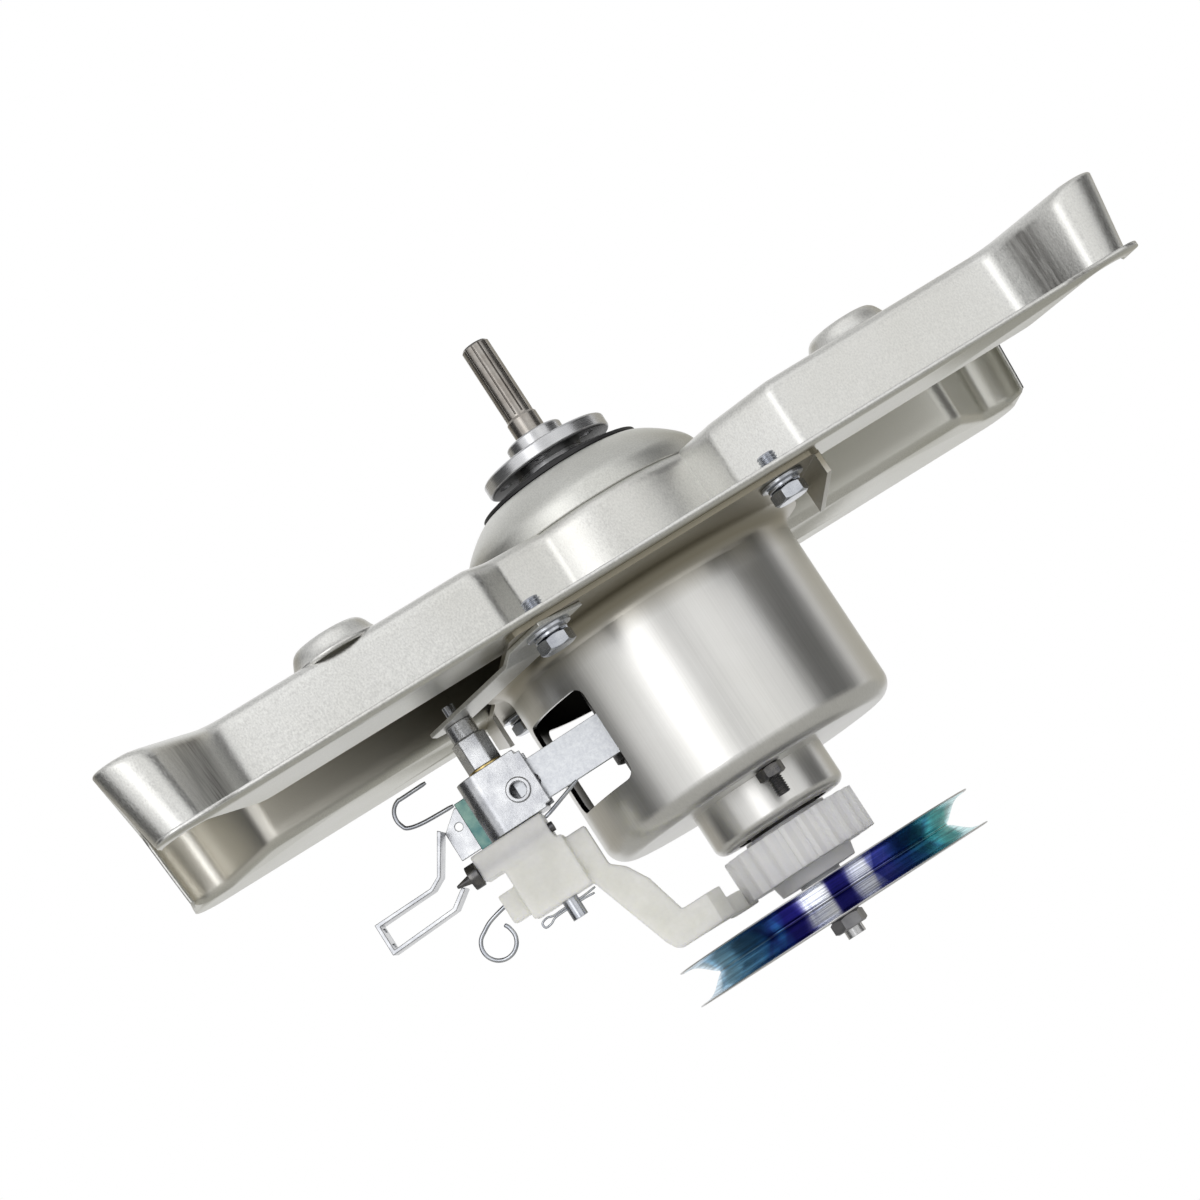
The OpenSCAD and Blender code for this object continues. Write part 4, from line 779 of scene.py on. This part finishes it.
def shaded_pan_inside(tree, base, coords):
    """Painted light and shade on the pan's inside above the flange, olive-tinted: it changes along X and is
    darkest in a painted shadow behind the lever on the left.
    """
    x, _, z = parts_of(tree, coords.outputs["Object"])
    left = blend_colours(tree, remap(tree, x, *LEFT_SHADE_SPAN, 0, 1), FAR_LEFT, SHADOW_BEHIND_LEVER)
    pan_shade = blend_colours(tree, remap(tree, x, *RIGHT_SHADE_SPAN, 0, 1), left, FAR_RIGHT)
    return blend_colours(tree, remap(tree, z, *ABOVE_FLANGE, 0, 1), base, pan_shade)


def shaded_drawn_lobes(tree, base, coords):
    """The slanted faces of the front lobes carry painted shade, and vertical draw lines where the sheet slid
    over the die: a band of |x| on the front's upright faces takes two dark shades, which a noise stretched
    along Z mixes."""
    x, y, _ = parts_of(tree, coords.outputs["Object"])
    out = worked_out(tree, "Math", "ABSOLUTE", x)
    tilt = worked_out(tree, "Math", "ABSOLUTE", parts_of(tree, coords.outputs["Normal"])["Z"])
    band = remap(tree, out, *LOBE_BAND_IN, 0, 1)
    for socket, limits in ((out, LOBE_BAND_OUT), (y, FRONT_ONLY), (tilt, UPRIGHT)):
        band = worked_out(tree, "Math", "MULTIPLY", band, remap(tree, socket, *limits, 1, 0))
    streaks = remap(tree, noise(tree, stretched(tree, coords, DRAW_LINES), 1.0), *STREAK_RANGE, 0, 1)
    dark = blend_colours(tree, streaks, LOBE_SHADE_DARK, LOBE_SHADE_LIGHT)
    return blend_colours(tree, band, base, dark)


def painted_shade_below(tree, base, coords):
    """Painted shade on the disc's underside: colour, metal and gloss fade to black where the normal points
    down."""
    rise = parts_of(tree, coords.outputs["Normal"])["Z"]
    shader = tree.nodes["Principled BSDF"]
    plug(tree, remap(tree, rise, *DOWNWARD, 0, 1), shader.inputs["Metallic"])
    plug(tree, remap(tree, rise, *DOWNWARD, 0.1, 0.5), shader.inputs["Specular IOR Level"])
    return blend_colours(tree, remap(tree, rise, *DOWNWARD, 0, 1), UNDERSIDE_SHADE, base)


def dark_roots(tree, base, coords):
    """The colour darkens below the splines' tip radius, between the splines."""
    at_tip = remap(tree, reach_of(tree, coords), *SPLINE_ROOT, 0, 1)
    return blend_colours(tree, at_tip, ROOT_DARK, base)


# %% Sheet, steel and moulded finishes
# Painted shade enters through the last argument: on the lobes, inside the pan, inside the can and on its
# neck, and under the disc.
zinc_sheet = finish("zinc_sheet", (0.82, 0.82, 0.80), (0.74, 0.735, 0.70), 0.38, grain=(1500, 1500, 1100),
                    patch=9, grain_depth=0.24, spread=0.10, bump=0.12, shade_and_marks=shaded_drawn_lobes)
zinc_inside = finish("zinc_inside", (0.74, 0.735, 0.69), (0.66, 0.655, 0.59), 0.36, grain=(1700, 1700, 1700),
                     patch=12, grain_depth=0.22, bump=0.10, shade_and_marks=shaded_pan_inside)
zinc_matt = finish("zinc_matt", (0.76, 0.76, 0.73), (0.68, 0.68, 0.64), 0.42, grain=(1500, 1500, 1500),
                   patch=16, grain_depth=0.22, bump=0.12)
zinc_drawn = finish("zinc_drawn", (0.78, 0.775, 0.76), (0.72, 0.715, 0.69), 0.31, grain=(1400, 1400, 14),
                    patch=14, grain_depth=0.10, spread=0.03, bump=0.012, shade_and_marks=shaded_can_inside)
zinc_dull = finish("zinc_dull", (0.40, 0.40, 0.42), (0.30, 0.30, 0.32), 0.34, patch=200)
zinc_bright = finish("zinc_bright", (0.62, 0.64, 0.68), (0.44, 0.46, 0.51), 0.24, grain=(1800, 1800, 1800),
                     patch=120)
zinc_lever = finish("zinc_lever", (0.68, 0.69, 0.71), (0.46, 0.47, 0.50), 0.26, grain=(1500, 1500, 1500),
                    patch=110, grain_depth=0.25, bump=0.06)
zinc_arm = finish("zinc_arm", (0.72, 0.74, 0.77), (0.60, 0.62, 0.66), 0.36, grain=(1500, 1500, 1500),
                  patch=700, grain_depth=0.14, bump=0.03)
TURNED = {"colour": (0.66, 0.66, 0.67), "tint": (0.58, 0.585, 0.60), "rough": 0.28, "grain": (60, 60, 2600),
          "patch": 60}
steel_turned = finish("steel_turned", **TURNED)
steel_disc = finish("steel_disc", **TURNED, shade_and_marks=painted_shade_below)
steel_ground = finish("steel_ground", (0.50, 0.48, 0.45), (0.34, 0.31, 0.28), 0.27, grain=(1600, 1600, 60),
                      patch=90, grain_depth=0.10, shade_and_marks=dark_roots)
steel_hard = finish("steel_hard", (0.42, 0.42, 0.44), (0.34, 0.34, 0.36), 0.33, patch=120)
steel_dark = finish("steel_dark", (0.10, 0.10, 0.11), (0.20, 0.195, 0.19), 0.30, patch=300)
# Near black and partly metallic, for the drum, its cover and the band.
brake_near_black = finish("brake_near_black", (0.060, 0.058, 0.055), (0.12, 0.115, 0.11), 0.5, metallic=0.7, patch=90)
rubber_black = finish("rubber_black", (0.010, 0.010, 0.011), (0.018, 0.018, 0.02), 0.55, metallic=0.0,
                      patch=100)
lining_brown = finish("lining_brown", (0.10, 0.07, 0.05), (0.05, 0.04, 0.03), 0.8, metallic=0.0, patch=400)
bronze_bush = finish("bronze_bush", (0.50, 0.36, 0.20), (0.40, 0.28, 0.16), 0.4, patch=200)
brass_washer = finish("brass_washer", (0.80, 0.64, 0.30), (0.70, 0.52, 0.20), 0.3, patch=200)
nylon_white = finish("nylon_white", (0.96, 0.96, 0.97), (0.91, 0.91, 0.94), 0.36, metallic=0.0,
                     subsurface=0.5, patch=60, grain_depth=0.03, bump=0.02, edge=0.4)
nylon_ivory = finish("nylon_ivory", (0.90, 0.90, 0.87), (0.83, 0.83, 0.79), 0.36, metallic=0.0,
                     subsurface=0.8, grain=(500, 500, 500), patch=70, grain_depth=0.05, bump=0.03, edge=0.5)
nylon_grey = finish("nylon_grey", (0.70, 0.71, 0.74), (0.62, 0.63, 0.66), 0.42, metallic=0.0, patch=90)
teal_plate = finish("teal_plate", (0.09, 0.20, 0.20), (0.20, 0.32, 0.28), 0.35, patch=160, grain_depth=0.15)

# %% Rainbow groove
DRIFT = 0.22
TURNING_LINES, LINE_RANGE = (30, 30, 2600), (0.45, 0.60)
LINE_COLOUR = (0.03, 0.04, 0.10)
# Ramp stops: the blues, navy and teal of the passivation, and two silver-white patches of painted highlight.
TINTS_AND_HIGHLIGHTS = ((0.04, (0.45, 0.72, 0.90)), (0.14, (0.20, 0.46, 0.76)), (0.21, (0.11, 0.11, 0.38)),
         (0.285, (0.13, 0.12, 0.42)), (0.315, (0.88, 0.90, 0.97)), (0.385, (0.97, 0.98, 1.0)),
         (0.415, (0.14, 0.13, 0.42)), (0.475, (0.12, 0.12, 0.40)), (0.505, (0.90, 0.92, 1.0)),
         (0.585, (0.97, 0.98, 1.0)), (0.62, (0.20, 0.22, 0.56)), (0.74, (0.12, 0.26, 0.54)),
         (0.86, (0.20, 0.64, 0.70)), (0.95, (0.36, 0.80, 0.82)))


def rainbow_groove():
    """Blue passivated zinc with painted highlights. The direction from the axis, a little disturbed by noise
    over that direction, runs through a ramp of steel blue, navy, silver-white painted highlights and teal,
    so the patches cross the whole groove.
    The noise is 0.5 on average, so half of DRIFT is taken off first. Fine turning lines darken the colour,
    and their noise also varies the roughness."""
    mat, tree, shader = blank("blue_groove")
    coords = tree.nodes.new("ShaderNodeTexCoord")
    way = worked_out(tree, "VectorMath", "NORMALIZE", from_axis(tree, coords))
    streaks = noise(tree, way, 9.0, detail=2.0, roughness=0.6)
    round_x = remap(tree, parts_of(tree, way)["X"], -1, 1, -DRIFT/2, 1 - DRIFT/2)
    drift = worked_out(tree, "Math", "MULTIPLY_ADD", streaks, DRIFT, round_x)
    ramp = tree.nodes.new("ShaderNodeValToRGB")
    while len(ramp.color_ramp.elements) < len(TINTS_AND_HIGHLIGHTS):
        ramp.color_ramp.elements.new(0.5)
    for element, (position, colour) in zip(ramp.color_ramp.elements, TINTS_AND_HIGHLIGHTS):
        element.position = position
        element.color = (*colour, 1)
    plug(tree, drift, ramp.inputs["Fac"])
    turned = noise(tree, stretched(tree, coords, TURNING_LINES), 1.0)
    depth = remap(tree, turned, *LINE_RANGE, 0, 0.5)
    colour = blend_colours(tree, depth, ramp.outputs["Color"], LINE_COLOUR)
    plug(tree, colour, shader.inputs["Base Color"])
    plug(tree, remap(tree, turned, *GRAIN_RANGE, 0.16, 0.26), shader.inputs["Roughness"])
    shader.inputs["Metallic"].default_value = 1.0
    return mat


blue_groove = rainbow_groove()

# %% Dress everything
for piece, face in ((skin, zinc_sheet), (dome_skin, zinc_matt)):
    piece.data.materials.clear()
    piece.data.materials.append(face)
    piece.data.materials.append(zinc_inside)
pulley.data.materials.append(steel_turned)
pulley.data.materials.append(blue_groove)
dress(zinc_sheet, "bracket", "lever_strap")
dress(zinc_drawn, "housing_can")
dress(zinc_lever, "brake_lever", "standoff_nut", "pull_lever")
dress(zinc_bright, "housing_bolts", "bolt_washers", "lever_spring", "pawl_spring", "return_spring",
      "cotter_pin", "lever_pin", screw_set, *wires.values())
dress(zinc_dull, "pulley_nut", "pulley_washers", nut_set)
dress(nylon_grey, "clutch_hub")
dress(zinc_arm, "band_arm", "band_anchor")
dress(steel_turned, "bearing_races_fixed", "bearing_balls", "bearing_races_spinning", "spin_tube",
      "planet_carrier", "planet_pins", "input_shaft", "pulley_hub", "wrap_spring")
dress(brake_near_black, "brake_drum", "drum_cover", "brake_band")
dress(steel_disc, "tub_flange")
dress(steel_ground, "wash_shaft")
dress(steel_hard, "ring_gear", "sun_gear", "planet_gear_1", "planet_gear_2", "planet_gear_3")
dress(steel_dark, "anchor_stud", "anchor_nut", "drum_screws", "adjust_screw", stud_set)
dress(rubber_black, "oil_seal", "shaft_seal")
dress(lining_brown, "brake_lining")
dress(bronze_bush, "tube_bushes", "sleeve_bushes")
dress(brass_washer, "pin_washer")
dress(nylon_white, "ratchet_wheel")
dress(nylon_ivory, "pawl")
dress(teal_plate, "spring_plate")
dress(blue_groove, "pulley_upper", "pulley_lower")

# %% [markdown]
# ## Camera
# The photograph was taken from a little below, with the part turned about a third of a right angle in
# the frame. The camera was fitted to it: place, direction and focal length, and a roll the other way.

# %% Camera
FOCAL = 88.5
PITCH = math.radians(7.818)
AZIMUTH = math.radians(9.959)
ROLL = math.radians(33)
EYE = Vector((-0.2152, -1.1489, -0.19666))

ahead = Vector((math.sin(AZIMUTH)*math.cos(PITCH), math.cos(AZIMUTH)*math.cos(PITCH), math.sin(PITCH)))
level = ahead.cross(Vector((0, 0, 1))).normalized()
upright = level.cross(ahead).normalized()
top = upright*math.cos(ROLL) + level*math.sin(ROLL)
side = ahead.cross(top).normalized()
lens = bpy.data.cameras.new("studio_camera")
lens.lens = FOCAL
lens.sensor_width = 36
lens.clip_start = 0.05
camera = in_scene("studio_camera", lens)
camera.matrix_world = Matrix.Translation(EYE) @ Matrix((side, top, -ahead)).transposed().to_4x4()
bpy.context.scene.camera = camera

# %% [markdown]
# ## Studio
# Plated metal shows what stands round it, so the room matters more than the lamps. Camera, glossy and
# transmission rays meet a white room, and all others a dimmer one. Cards that only glossy rays see give the
# metal its dark and grey bands. Two soft lamps in front and one above add its bright ones.

# %% White room
world = bpy.data.worlds.new("white_room")
world.use_nodes = True
bpy.context.scene.world = world
room = world.node_tree
white = room.nodes["Background"]
white.inputs["Color"].default_value = (1, 1, 1, 1)
white.inputs["Strength"].default_value = 1.0
fill = room.nodes.new("ShaderNodeBackground")
fill.inputs["Color"].default_value = (1.0, 0.99, 0.97, 1)
fill.inputs["Strength"].default_value = 0.72
rays = room.nodes.new("ShaderNodeLightPath").outputs
seen = worked_out(room, "Math", "MAXIMUM", rays["Is Camera Ray"], rays["Is Glossy Ray"])
seen = worked_out(room, "Math", "MAXIMUM", seen, rays["Is Transmission Ray"])
mix = room.nodes.new("ShaderNodeMixShader")
for slot, socket in enumerate((seen, fill.outputs[0], white.outputs[0])):
    plug(room, socket, mix.inputs[slot])
plug(room, mix.outputs[0], room.nodes["World Output"].inputs["Surface"])


# %% Cards
def panel(name, centre, facing, width, height):
    """A flat rectangle of the given size in metres, centred at a point and facing another."""
    normal = (Vector(facing) - Vector(centre)).normalized()
    across = normal.cross(Vector((0, 0, 1) if abs(normal.z) < 0.9 else (0, 1, 0))).normalized()
    rise = across.cross(normal)
    a, b = np.meshgrid([-0.5, 0.5], [-0.5, 0.5], indexing="ij")
    points = np.array(centre) + a[..., None]*width*np.array(across) + b[..., None]*height*np.array(rise)
    return grid_mesh(name, points/MM)


TARGET = (0, 0, -0.07)
CARDS = (("card_left", (-1.29, 0.14, 0.1), 1.2, 2.4, (0.07, 0.07, 0.07)),
         ("card_right", (1.26, -0.31, 0.1), 1.1, 2.4, (0.09, 0.09, 0.09)),
         ("card_behind_left", (-0.95, 1.15, 0.1), 1.0, 2.4, (0.46, 0.44, 0.39)),
         ("card_behind_right", (1.15, 0.95, 0.1), 1.1, 2.4, (0.50, 0.48, 0.42)),
         ("card_front", (-0.16, -1.45, 0.1), 0.46, 2.4, (0.76, 0.76, 0.76)),
         ("card_front_right", (0.5, -1.4, 0.1), 0.8, 2.4, (0.84, 0.84, 0.83)),
         ("card_low", (0.0, -0.25, -0.345), 2.6, 1.9, (0.46, 0.455, 0.43)),
         ("card_top", (0.0, 0.15, 0.9), 2.4, 1.0, (0.6, 0.6, 0.6)))
for name, centre, width, height, shade in CARDS:
    grey, tree, _ = blank(name)
    shine = tree.nodes.new("ShaderNodeEmission")
    shine.inputs["Color"].default_value = (*shade, 1)
    plug(tree, shine.outputs[0], tree.nodes["Material Output"].inputs["Surface"])
    card = panel(name, centre, (centre[0], centre[1], 0) if name == "card_low" else TARGET, width, height)
    dress(grey, card)
    card.visible_camera = False
    card.visible_diffuse = False
    card.visible_shadow = False
    card.visible_transmission = False


# %% Lamps
def soft_lamp(name, centre, facing, width, height, power):
    """A rectangular area lamp aimed at a point."""
    data = bpy.data.lights.new(name, "AREA")
    data.shape = "RECTANGLE"
    data.size = width
    data.size_y = height
    data.energy = power
    lamp = in_scene(name, data)
    lamp.location = centre
    lamp.rotation_euler = (Vector(facing) - Vector(centre)).to_track_quat("-Z", "Y").to_euler()
    return lamp


soft_lamp("key_left", (-0.55, -1.1, 0.35), TARGET, 0.5, 1.2, 2.4)
soft_lamp("key_right", (0.45, -1.25, 0.3), TARGET, 0.5, 1.2, 0.5)
soft_lamp("top_soft", (0, 0.1, 1.3), TARGET, 1.4, 1.4, 5)

# %% Colour management
bpy.context.scene.view_settings.view_transform = "Standard"
